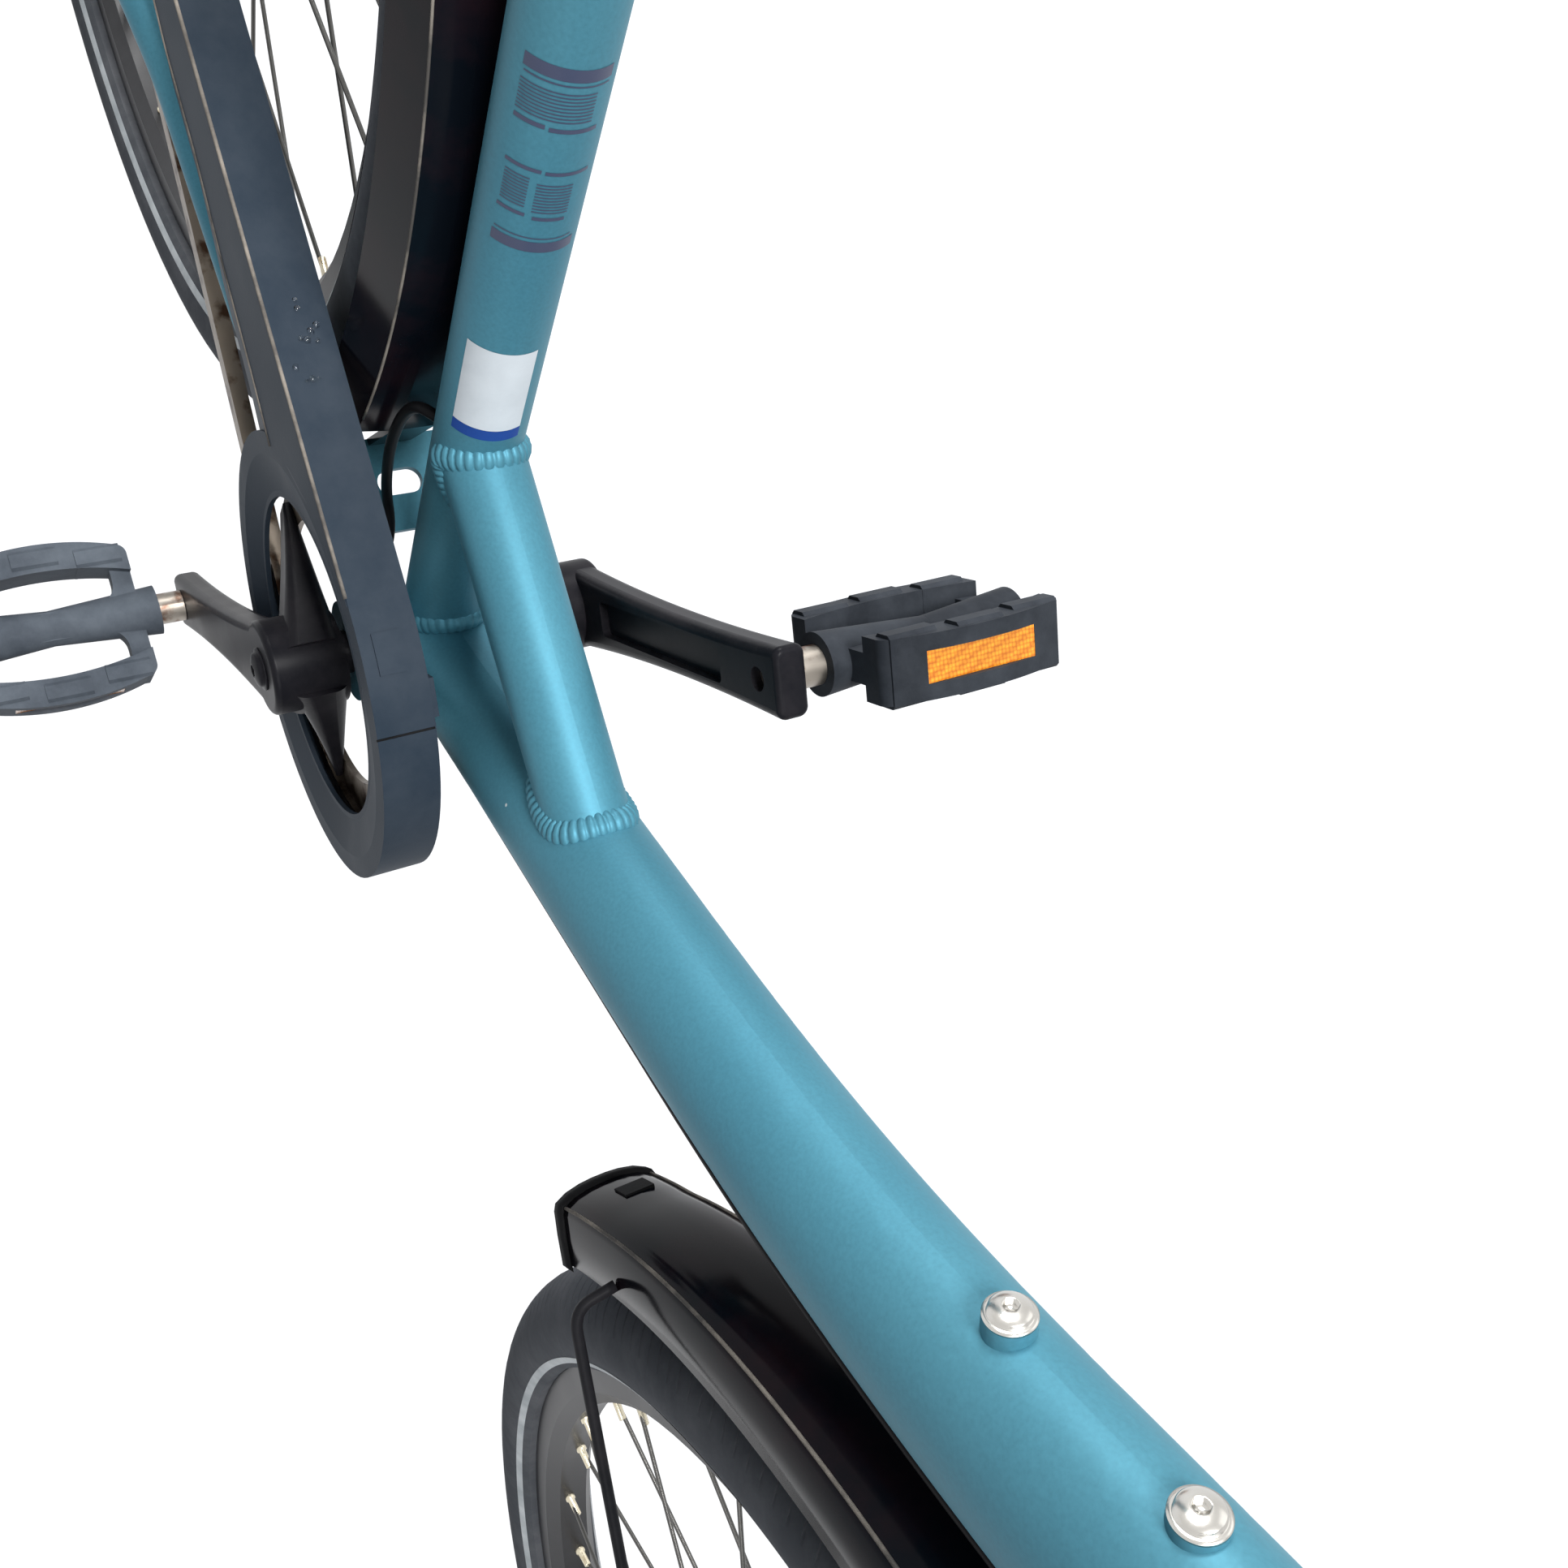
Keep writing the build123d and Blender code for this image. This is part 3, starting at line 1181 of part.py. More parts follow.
def make_rack():
    """The rear rack: a hoop, lengthwise rods, cross rods and two legs each side."""
    z = rack_z()
    rear_x = rear_axle_x - rack_rear_behind_axle
    front_x = rear_axle_x + rack_front_before_axle
    w = rack_half_width
    loop = [
        Vector(front_x, -w, z), Vector(rear_x, -w, z), Vector(rear_x, w, z), Vector(front_x, w, z),
    ]
    rack = bent_rod(loop, [rack_corner_radius] * 2, rack_tube_radius)
    for share in rack_cross_shares:
        x = front_x + (rear_x - front_x) * share
        rack += rod(Vector(x, -w, z), Vector(x, w, z), rack_cross_radius)
    for side in (-1, 1):
        rack += rod(Vector(front_x, side * w / 3, z), Vector(rear_x, side * w / 3, z), rack_rod_radius)
        eye_y = rear_hub_spacing / 2 + dropout_thickness + rack_leg_radius + seat_gap
        eye = rear_axle + Vector(0, side * eye_y, rack_eye_height)
        for share in rack_leg_shares:
            x = front_x + (rear_x - front_x) * share
            rack += rod(eye, Vector(x, side * w, z), rack_leg_radius)
    arm_end = seat_up * rack_arm_height
    for side in (-1, 1):
        end = arm_end + Vector(0, side * (seat_tube_radius + rack_rod_radius + seat_gap), 0)
        rack += rod(Vector(front_x, side * w / 3, z), end, rack_rod_radius)
    nodes["rear_rack"] = rack - rod(Vector(0, 0, 0), arm_end + arm_end, seat_tube_radius + running_gap)


def make_seat():
    """Seat clamp, seat post with the saddle rails, and the saddle."""
    clamp_low = seat_tube_length - seat_clamp_height
    collar = rod(seat_up * clamp_low, seat_up * seat_tube_length, seat_clamp_radius)
    collar -= rod(seat_up * (clamp_low - overrun), seat_up * (seat_tube_length + overrun), seat_tube_radius + running_gap)
    ear = seat_plane.location * (
        Pos(-seat_clamp_radius - seat_clamp_ear / 2, 0, seat_tube_length - seat_clamp_height / 2)
        * Box(seat_clamp_ear + overrun, seat_clamp_radius, seat_clamp_height)
    )
    nodes["seat_clamp"] = collar + ear
    low = seat_tube_length - seat_post_insertion
    top = low + seat_post_length
    post = rod(seat_up * low, seat_up * top, seat_post_radius)
    head = seat_up * top
    post += drum(head, seat_head_radius, -seat_head_width / 2, seat_head_width / 2)
    rail_z = head.Z + seat_head_radius
    front = Vector(head.X + rail_front, 0, rail_z + rail_front_rise)
    back = Vector(head.X - rail_back, 0, rail_z + rail_back_rise)
    post_rails = None
    for side in (-1, 1):
        y = Vector(0, side * rail_y, 0)
        route = [
            front, Vector(head.X + rail_flat, 0, rail_z), Vector(head.X - rail_flat, 0, rail_z), back,
        ]
        post += bent_rod([p + y for p in route], [rail_bend_radius] * 2, rail_radius)
        socket = bent_rod([p + y for p in route], [rail_bend_radius] * 2, rail_radius + running_gap)
        post_rails = socket if post_rails is None else post_rails + socket
    post += Pos(head.X, 0, rail_z - rail_radius) * Box(seat_head_width, 2 * rail_y + 4 * rail_radius, 6 * rail_radius)
    nodes["seat_post"] = post
    # Columns: place along the saddle as a share, width, height, drop of the top
    rows = saddle_rows()
    base = Vector(head.X - saddle_shift_back, 0, rail_z + saddle_above_clamp)
    sections = []
    for share, width, height, drop in rows:
        x = base.X + saddle_length * (0.5 - share)
        plane = Plane(origin=(x, 0, base.Z - drop - height / 2), x_dir=(0, 1, 0), z_dir=(-1, 0, 0))
        sections.append(plane * RectangleRounded(width, height, height * saddle_round_share))
    nodes["saddle"] = loft(sections) - post_rails


def saddle_rows():
    """Saddle sections from nose to tail."""
    nose, wide, tall = saddle_nose_width, saddle_width, saddle_height
    return [
        (0, nose * 3 / 4, tall * 3 / 5, tall / 10),
        (1 / 5, nose, tall * 7 / 10, 0),
        (1 / 2, nose + (wide - nose) / 3, tall * 4 / 5, tall / 20),
        (4 / 5, wide * 15 / 16, tall, -tall / 12),
        (1, wide * 3 / 4, tall * 4 / 5, -tall / 8),
    ]


def make_brakes():
    """Brake calipers: blocks slotted over the rotors, on the left fork leg and chain stay."""
    reach = rotor_radius + caliper_depth / 2 - rotor_band
    front_y = front_hub_spacing / 2 - front_rotor_from_dropout
    rear_y = rear_hub_spacing / 2 - rear_rotor_from_dropout
    front_mount = fork_leg_y
    rear_mount = chain_stay_end_y
    # Columns: node, axle, rotor side place, angle round the axle, mount angle, mount side place, carriers
    rows = [
        ("front_caliper", front_axle, front_y, front_caliper_angle, 180 - head_angle, front_mount, ["fork"]),
        ("rear_caliper", rear_axle, rear_y, rear_caliper_angle, rear_mount_angle, rear_mount,
         ["chain_stays", "rear_dropouts"]),
    ]
    for name, axle, rotor_y, angle, mount_angle, mount_y, carriers in rows:
        block = Box(caliper_depth, caliper_width, caliper_length)
        block = fillet(block.edges(), caliper_fillet)
        slot_depth = caliper_depth / 2 + rotor_band / 2
        slot = Pos(-caliper_depth / 2 + slot_depth / 2 - overrun / 2, 0, 0) * Box(
            slot_depth + overrun, rotor_thickness + 2 * caliper_pad_gap, caliper_length + overrun
        )
        shift = caliper_width / 2 - caliper_inner_thickness - rotor_thickness / 2 - caliper_pad_gap
        block = Pos(0, shift, 0) * block - slot
        place = axle + Vector(0, rotor_y + rotor_thickness / 2, 0)
        turned_block = Rot(0, -angle, 0) * (Pos(reach, 0, 0) * block)
        caliper = Pos(*place) * turned_block
        for share in caliper_bolt_shares:
            radius = reach + caliper_length * share
            bolt_y = rotor_y + caliper_width / 2
            start = fender_angle_point(axle, radius, angle, bolt_y)
            end = fender_angle_point(axle, radius, mount_angle, mount_y)
            caliper += rod(start, end, caliper_bolt_radius)
        for carrier in carriers:
            caliper -= nodes[carrier]
        nodes[name] = caliper.solids().sort_by(SortBy.VOLUME)[-1]


def stand_places():
    """Ground direction, pivot, foot and turning axis of the side stand."""
    lean = radians(stand_lean_angle)
    down = Vector(0, sin(lean), -cos(lean))
    bulb_centre = wheel_radius - tyre_width / 2
    depth = -(axle_height - bulb_centre) * cos(lean) + tyre_width / 2
    pivot = Vector(-stand_pivot_x, stand_pivot_y, stand_pivot_z)
    foot_y = stand_pivot_y + stand_splay
    foot_z = -(depth - foot_y * sin(lean)) / cos(lean)
    foot = Vector(pivot.X + stand_foot_forward, foot_y, foot_z)
    leg = foot - pivot
    stowed = Vector(-1, stand_stow_out_share, -stand_stow_down_share).normalized() * leg.length
    axis = leg.cross(stowed).normalized()
    angle = degrees(acos(leg.dot(stowed) / leg.length**2))
    return down, depth, pivot, foot, axis, angle


def make_stand():
    """The side stand: its bracket on the left chain stay with the pin, and the swinging leg."""
    down, depth, pivot, foot, axis, angle = stand_places()
    plate_low = chain_stay_end_y + chain_stay_radius + seat_gap
    lug = rear_axle + Vector(dropout_reach_front, 0, 0)
    circles = Sketch(children=[
        Pos(lug.X, lug.Z) * Circle(dropout_lug_radius),
        Pos(pivot.X, pivot.Z) * Circle(dropout_lug_radius),
    ])
    plane = Plane(origin=(0, plate_low + stand_plate_thickness, 0), x_dir=(1, 0, 0), z_dir=(0, -1, 0))
    bracket = extrude(plane * make_hull(circles.edges()), amount=stand_plate_thickness)
    half = stand_eye_length / 2
    pin_start = pivot - axis * ((pivot.Y - plate_low - stand_plate_thickness / 2) / axis.Y)
    bracket += rod(pin_start, pivot + axis * (half + stand_pin_head), stand_pin_radius)
    nodes["stand_bracket"] = bracket
    eye = rod(pivot - axis * half, pivot + axis * half, stand_eye_radius)
    ankle = foot - down * (stand_foot_thickness / 2)
    leg = eye + rod(pivot, ankle, stand_leg_radius)
    leg += rod(foot - down * stand_foot_thickness, foot, stand_foot_radius)
    leg -= rod(pivot - axis * (half + overrun), pivot + axis * (half + overrun), stand_pin_radius + running_gap)
    leg = leg.solids().sort_by(SortBy.VOLUME)[-1]
    nodes["side_stand"] = leg


def make_cable():
    """The cable under the down tube, from a port near the head tube to the stand plate."""
    low, middle, low_bend, high_bend, end = down_tube_path()
    last = (end - high_bend).normalized()

    def under(place, direction, width, height):
        """A place beside the tube's underside."""
        drop = height / 2 * sqrt(1 - (2 * cable_side / width) ** 2) + cable_radius + cable_stand_off
        return place + Vector(direction.Z, 0, -direction.X) * drop + Vector(0, -cable_side, 0)

    turn_low = (low + middle).normalized()
    turn_high = (middle + last).normalized()
    route = [
        under(low * cable_tail, low, down_tube_low_width, down_tube_low_height),
        under(low_bend, turn_low, down_tube_bolt_width, down_tube_bolt_height),
        under(high_bend, turn_high, down_tube_head_width, down_tube_head_height_across),
        under(end - last * cable_head_gap, last, down_tube_head_width, down_tube_head_height_across),
    ]
    outside = down_tube_bend_radius + down_tube_bolt_height / 2
    runs = [route[i + 1] - route[i] for i in range(3)]
    low_half_turn = radians(runs[0].get_angle(runs[1])) / 2
    high_half_turn = radians(runs[1].get_angle(runs[2])) / 2
    free = min(runs[1].length - outside * tan(low_half_turn), runs[2].length)
    high_bend_radius = cable_bend_share * free / tan(high_half_turn)
    nodes["down_tube_cable"] = bent_rod(route, [outside, high_bend_radius], cable_radius)


make_wheel(
    "rear", rear_axle, rear_hub_spacing, rear_hub_flange_radius, rear_hub_flange_spread,
    rear_hub_shell_radius, rear_hub_nose_radius, rear_rotor_from_dropout,
)
make_wheel(
    "front", front_axle, front_hub_spacing, front_hub_flange_radius, front_hub_flange_spread,
    front_hub_shell_radius, front_hub_nose_radius, front_rotor_from_dropout,
)
make_frame()
make_stays()
make_fenders()
make_chain()
make_guard()
make_cranks()
make_pedals()
make_fork()
make_cockpit()
make_lights()
make_rack()
make_seat()
make_brakes()
make_stand()
make_cable()

# Lean the whole bicycle onto its stand and put the middle of its box at the origin
lean_turn = Rot(-stand_lean_angle, 0, 0)
leaned = {name: lean_turn * shape for name, shape in nodes.items()}
boxes = [shape.bounding_box(optimal=True) for shape in leaned.values()]
low_corner = [min(tuple(box.min)[k] for box in boxes) for k in range(3)]
high_corner = [max(tuple(box.max)[k] for box in boxes) for k in range(3)]
shift = Vector(-(low_corner[0] + high_corner[0]) / 2, -(low_corner[1] + high_corner[1]) / 2, -low_corner[2])


def leaned_place(place):
    """Where a place of the upright bicycle lies once it leans."""
    turn = radians(stand_lean_angle)
    y = place.Y * cos(turn) + place.Z * sin(turn)
    z = -place.Y * sin(turn) + place.Z * cos(turn)
    return Vector(place.X, y, z) + shift


def leaned_direction(direction):
    """Which way a direction of the upright bicycle points once it leans."""
    return leaned_place(direction) - leaned_place(Vector(0, 0, 0))


down, depth, pivot, foot, stand_axis, stand_angle = stand_places()
lateral = Vector(0, 1, 0)
pedal_place = crank_direction() * crank_length
pedal_y = crank_outer_y + pedal_flat_length + pedal_width / 2
print("shift", shift)
low, middle, low_bend, high_bend, tube_end = down_tube_path()
boss_out = Vector(-middle.Z, 0, middle.X)
boss_mouths = []
for along in (boss_from_low_bend, boss_from_low_bend + boss_spacing):
    boss_mouths.append(low_bend + middle * along + boss_out * (down_tube_bolt_height / 2 + boss_rise))
# Columns: name, place, direction
key_places = [
    ("steering", steer_point(0, 0, crown_race_height), steer_up),
    ("front_wheel", front_axle, lateral),
    ("rear_wheel", rear_axle, lateral),
    ("cranks", Vector(0, 0, 0), lateral),
    ("pedal_right", pedal_place + Vector(0, -pedal_y, 0), lateral),
    ("pedal_left", pedal_place * -1 + Vector(0, pedal_y, 0), lateral),
    ("stand", pivot, stand_axis),
    ("boss_lower", boss_mouths[0], boss_out),
    ("boss_upper", boss_mouths[1], boss_out),
    ("stand_plate", Vector(-plate_slot_x, 0, plate_top_z), Vector(0, 0, 1)),
    ("rack_top", Vector(rear_axle_x, 0, rack_z() + rack_tube_radius), Vector(0, 0, 1)),
    ("bar_right", bar_points()[2], (bar_points()[1] - bar_points()[2]).normalized()),
]
for name, place, direction in key_places:
    print("place", name, leaned_place(place), leaned_direction(direction))
print("stand angle", stand_angle)

os.makedirs("parts", exist_ok=True)
for name, shape in leaned.items():
    export_step(Pos(*shift) * shape, "parts/" + name + ".step")
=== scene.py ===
# %% [markdown]
# A city bicycle seen over its step-through frame.
# The imported model gives every tube, wheel and lever at its real size. This lesson dresses it: paint, rubber
# and plastic for each piece, and the small things that a frame builder or an owner would look for, such as weld
# beads, bolts, decals and tread. First the imported model is loaded.

# %% Load the bicycle
import json

import bpy
import numpy as np
from mathutils import Matrix, Vector


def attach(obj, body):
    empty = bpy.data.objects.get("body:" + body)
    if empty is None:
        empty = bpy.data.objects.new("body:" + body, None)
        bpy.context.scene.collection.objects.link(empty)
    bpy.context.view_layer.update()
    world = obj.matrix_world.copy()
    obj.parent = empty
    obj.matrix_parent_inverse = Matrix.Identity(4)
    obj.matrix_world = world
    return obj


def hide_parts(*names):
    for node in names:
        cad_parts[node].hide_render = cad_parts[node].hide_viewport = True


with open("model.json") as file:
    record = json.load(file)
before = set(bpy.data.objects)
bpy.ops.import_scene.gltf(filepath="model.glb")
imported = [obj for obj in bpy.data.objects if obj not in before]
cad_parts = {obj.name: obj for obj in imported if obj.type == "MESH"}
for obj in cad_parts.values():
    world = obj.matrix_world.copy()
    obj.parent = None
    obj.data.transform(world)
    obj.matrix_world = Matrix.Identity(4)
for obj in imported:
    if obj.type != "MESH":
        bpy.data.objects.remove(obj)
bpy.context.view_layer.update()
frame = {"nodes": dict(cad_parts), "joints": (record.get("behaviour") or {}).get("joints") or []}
nodes = frame["nodes"]

# %% [markdown]
# The bicycle leans on its stand, so the row's axes are awkward to measure in. All places below are written in
# the bicycle's own upright frame instead: millimetres from the bottom bracket's centre, forward, left and up.
# The crank joint in the record gives both the centre and the leaning left axis, and the steering joint gives the
# line of the head tube, so nothing has to be fitted by hand.

# %% The bicycle's own upright frame
joints = {joint["name"]: joint for joint in frame["joints"]}
bracket = np.array(joints["crank_spin"]["pos_m"])
left_axis = np.array(joints["crank_spin"]["axis"])
left_axis = left_axis / np.linalg.norm(left_axis)
forward_axis = np.array([1.0, 0.0, 0.0])
up_axis = np.cross(forward_axis, left_axis)
bike_axes = np.stack([forward_axis, left_axis, up_axis])


def to_row(points_mm):
    """Places in the upright frame, in mm, as places in the row's frame, in metres: centre plus the three
    coordinates times the three leaning axes."""
    return bracket + np.asarray(points_mm, float) @ bike_axes / 1000


def to_bike(points_m):
    """The other way round: the distance from the bottom bracket measured along each leaning axis, in mm."""
    return (np.asarray(points_m, float) - bracket) @ bike_axes.T * 1000


front_axle = to_bike(joints["front_wheel_spin"]["pos_m"])
rear_axle = to_bike(joints["rear_wheel_spin"]["pos_m"])
steer_direction = np.array(joints["steering"]["axis"]) @ bike_axes.T
print("axles", front_axle.round(1), rear_axle.round(1), "steering", steer_direction.round(3))

# %% [markdown]
# Colours are written as sRGB hex values, as a paint chart gives them, and one function turns them to the linear
# values that the renderer adds and multiplies. A second small function adds a node with its settings and links,
# so that each material below reads as a short list of steps.

# %% Colour and node helpers


def colour(hex_value):
    """An sRGB hex value as linear red, green and blue: below 0.04045 a straight line, above it a power of 2.4."""
    parts = np.array([int(hex_value[i:i + 2], 16) for i in (1, 3, 5)]) / 255
    linear = np.where(parts <= 0.04045, parts / 12.92, ((parts + 0.055) / 1.055) ** 2.4)
    return (*linear.tolist(), 1.0)


def add(tree, kind, values=None, links=None, **settings):
    """Adds a node, sets its properties, gives its inputs their values and links them from other outputs."""
    node = tree.nodes.new(kind)
    for key, value in settings.items():
        setattr(node, key, value)
    for key, value in (values or {}).items():
        node.inputs[key].default_value = value
    for key, output in (links or {}).items():
        tree.links.new(output, node.inputs[key])
    return node


def start_material(name):
    """A new material with its surface shader, its output and its object coordinates."""
    material = bpy.data.materials.new(name)
    material.use_nodes = True
    tree = material.node_tree
    tree.nodes.clear()
    shader = add(tree, "ShaderNodeBsdfPrincipled")
    add(tree, "ShaderNodeOutputMaterial", links={"Surface": shader.outputs[0]})
    place = add(tree, "ShaderNodeTexCoord").outputs["Object"]
    return material, tree, shader, place


def ramp(tree, fac, low, high, colour_low=(0, 0, 0, 1), colour_high=(1, 1, 1, 1)):
    """A colour ramp that goes from one colour to another between two values."""
    node = add(tree, "ShaderNodeValToRGB", links={"Fac": fac})
    node.color_ramp.elements[0].position = low
    node.color_ramp.elements[0].color = colour_low
    node.color_ramp.elements[1].position = high
    node.color_ramp.elements[1].color = colour_high
    return node.outputs["Color"]


def bump(tree, shader, height, distance_mm, strength):
    """Links a height to the shader's normal, with its real depth in mm."""
    node = add(tree, "ShaderNodeBump", {"Strength": strength, "Distance": distance_mm / 1000}, {"Height": height})
    tree.links.new(node.outputs[0], shader.inputs["Normal"])


print("mid grey #808080 as linear light", round(colour("#808080")[0], 3))

# %% [markdown]
# The frame is aluminium with a matt metallic lacquer. Fine metal flakes under a silky clear coat make it bright
# where it faces the light and deep blue-green where it turns away, so the paint is about a third metallic, with a
# wide highlight. A noise of a third of a millimetre stands for the flakes, drawn coarser than life so that it
# shows, and scattered specks show where grit has chipped the lacquer down to its pale primer. Object coordinates
# are in metres, so the Scale of a pattern is how many of its cells lie in a metre.

# %% Metallic lacquer on the frame
FLAKE_MM = 0.35
CHIP_CELL_MM = 34.0
CHIP_EDGE = (0.016, 0.022)
CLOUDS_PER_M = 9.0
CLOUD_EDGE = (0.3, 0.75)
PAINT_METALLIC, PAINT_SPECULAR = 0.36, 0.2


def metallic_lacquer(name, light, dark):
    """Lacquer whose colour wanders a little, with flakes in its roughness and a few pale chips. The finest detail
    of the flake noise is a quarter of its own size, so its Scale is a quarter of 1000 over the flake."""
    material, tree, shader, place = start_material(name)
    cloud = add(tree, "ShaderNodeTexNoise", {"Scale": CLOUDS_PER_M, "Detail": 2.0}, {"Vector": place})
    body = ramp(tree, cloud.outputs["Fac"], *CLOUD_EDGE, colour(dark), colour(light))
    flakes = add(tree, "ShaderNodeTexNoise", {"Scale": 1000 / FLAKE_MM / 4, "Detail": 2.0}, {"Vector": place})
    glint = add(tree, "ShaderNodeMix", {"Factor": 0.16}, data_type="RGBA", blend_type="OVERLAY")
    tree.links.new(body, glint.inputs["A"])
    tree.links.new(flakes.outputs["Fac"], glint.inputs["B"])
    cells = add(tree, "ShaderNodeTexVoronoi", {"Scale": 1000 / CHIP_CELL_MM, "Randomness": 1.0}, {"Vector": place})
    chips = ramp(tree, cells.outputs["Distance"], *CHIP_EDGE, (1, 1, 1, 1), (0, 0, 0, 1))
    chipped = add(tree, "ShaderNodeMix", {"B": colour("#d4dcdc")}, {"Factor": chips, "A": glint.outputs["Result"]},
                  data_type="RGBA")
    tree.links.new(chipped.outputs["Result"], shader.inputs["Base Color"])
    rough = add(tree, "ShaderNodeMapRange", {"To Min": 0.48, "To Max": 0.56}, {"Value": flakes.outputs["Fac"]})
    tree.links.new(rough.outputs["Result"], shader.inputs["Roughness"])
    shader.inputs["Metallic"].default_value = PAINT_METALLIC
    shader.inputs["Specular IOR Level"].default_value = PAINT_SPECULAR
    bump(tree, shader, flakes.outputs["Fac"], 0.01, 0.5)
    return material


teal_lacquer = metallic_lacquer("metallic_lacquer_teal", "#4f8899", "#447d90")
print("paint", teal_lacquer.name)

# %% [markdown]
# Most of the black pieces are a satin powder coat on metal, a satin nylon with a fine moulded grain, a glossy
# polycarbonate, or rubber. They differ in grain, in gloss and in how dust lies on them, so one function takes
# those sizes. Dust is a soft noise that lifts the colour and the roughness together.

# %% Black finishes
DUST_PER_M = 24.0
DUST_EDGE = (0.42, 0.78)


def dusty_finish(name, base, dust, grain_mm, grain_depth_mm, rough_low, rough_high, dust_share=0.5, gloss=0.06):
    """A moulded or coated surface: base colour, patches of dust, and a grain of a real size as bump. The dust share
    is how far the thickest patch takes on the dust's colour, and gloss is the strength of the reflection."""
    material, tree, shader, place = start_material(name)
    patches = add(tree, "ShaderNodeTexNoise", {"Scale": DUST_PER_M, "Detail": 6.0, "Roughness": 0.65},
                  {"Vector": place})
    thick = (dust_share, dust_share, dust_share, 1)
    amount = ramp(tree, patches.outputs["Fac"], *DUST_EDGE, (0, 0, 0, 1), thick)
    mixed = add(tree, "ShaderNodeMix", {"A": colour(base), "B": colour(dust)}, {"Factor": amount}, data_type="RGBA")
    tree.links.new(mixed.outputs["Result"], shader.inputs["Base Color"])
    rough = add(tree, "ShaderNodeMapRange", {"To Min": rough_low, "To Max": rough_high},
                {"Value": patches.outputs["Fac"]})
    tree.links.new(rough.outputs["Result"], shader.inputs["Roughness"])
    shader.inputs["Specular IOR Level"].default_value = gloss
    grain = add(tree, "ShaderNodeTexNoise", {"Scale": 1000 / grain_mm, "Detail": 3.0}, {"Vector": place})
    bump(tree, shader, grain.outputs["Fac"], grain_depth_mm, 0.7)
    return material


powder_coat = dusty_finish("powder_coat_black", "#16171a", "#3f3b3e", 1.6, 0.03, 0.36, 0.55, 0.35)
# The nylon's blue tint is partly a painted reflection of the sky
guard_nylon = dusty_finish("moulded_nylon_black", "#2b3540", "#6a7078", 1.1, 0.05, 0.42, 0.62, 0.16)
pedal_resin = dusty_finish("glass_filled_resin_grey", "#464c54", "#7c848d", 0.9, 0.06, 0.5, 0.72, 0.5)
# A darker copy of the pedal resin for the left pedal, which lies in shade: painted shade
pedal_resin_painted_shade = dusty_finish("glass_filled_resin_painted_shade", "#25282d", "#565b62", 0.9, 0.06, 0.45, 0.65, 0.4)
forged_black = dusty_finish("forged_alloy_black_paint", "#17171b", "#4a4548", 2.4, 0.02, 0.25, 0.45, 0.3)
# The mudguards' reddish-brown patches are dust and also a painted reflection of reddish surroundings
guard_gloss = dusty_finish("polycarbonate_gloss_black", "#0b0f16", "#3a1e22", 3.0, 0.004, 0.08, 0.2, 0.4)
# Pale plastic for thin cords that are painted highlights along edges and creases
painted_highlight_plastic = dusty_finish("painted_highlight_plastic_cord", "#55524f", "#c4b9ac", 1.5, 0.02, 0.5, 0.7, 1.0)
flap_rubber = dusty_finish("flexible_pvc_grey", "#3b3d42", "#6a6c70", 1.4, 0.05, 0.55, 0.75, 0.4)
grip_rubber = dusty_finish("soft_rubber_black", "#131314", "#333335", 1.2, 0.08, 0.6, 0.8, 0.4)
cable_jacket = dusty_finish("cable_jacket_black", "#101012", "#2b2b2e", 1.0, 0.01, 0.35, 0.5, 0.3)
rim_anodised = dusty_finish("anodised_black_rim", "#232326", "#4d4d50", 2.0, 0.01, 0.3, 0.48, 0.35, 0.3)
print("black finishes ready")

# %% [markdown]
# A tyre is carbon-black rubber. On a bicycle that is ridden it is grey rather than black, with patches of dust. The
# slanted grooves of its tread are too fine to cut as a shape, so they are a bump, worked out from each place's
# angle round the axle. The reflective stripe on the side is a separate moulded band.

# %% Tyre rubber and its stripe
TREAD_PITCH_MM = 9.0
TREAD_SLANT = 0.55
TYRE_OUTSIDE_MM = 357.4
GROOVE_MM = 1.2
GROOVE_EDGE = (0.1, 0.2)
TREAD_SHOULDER_M = (0.3455, 0.3475)


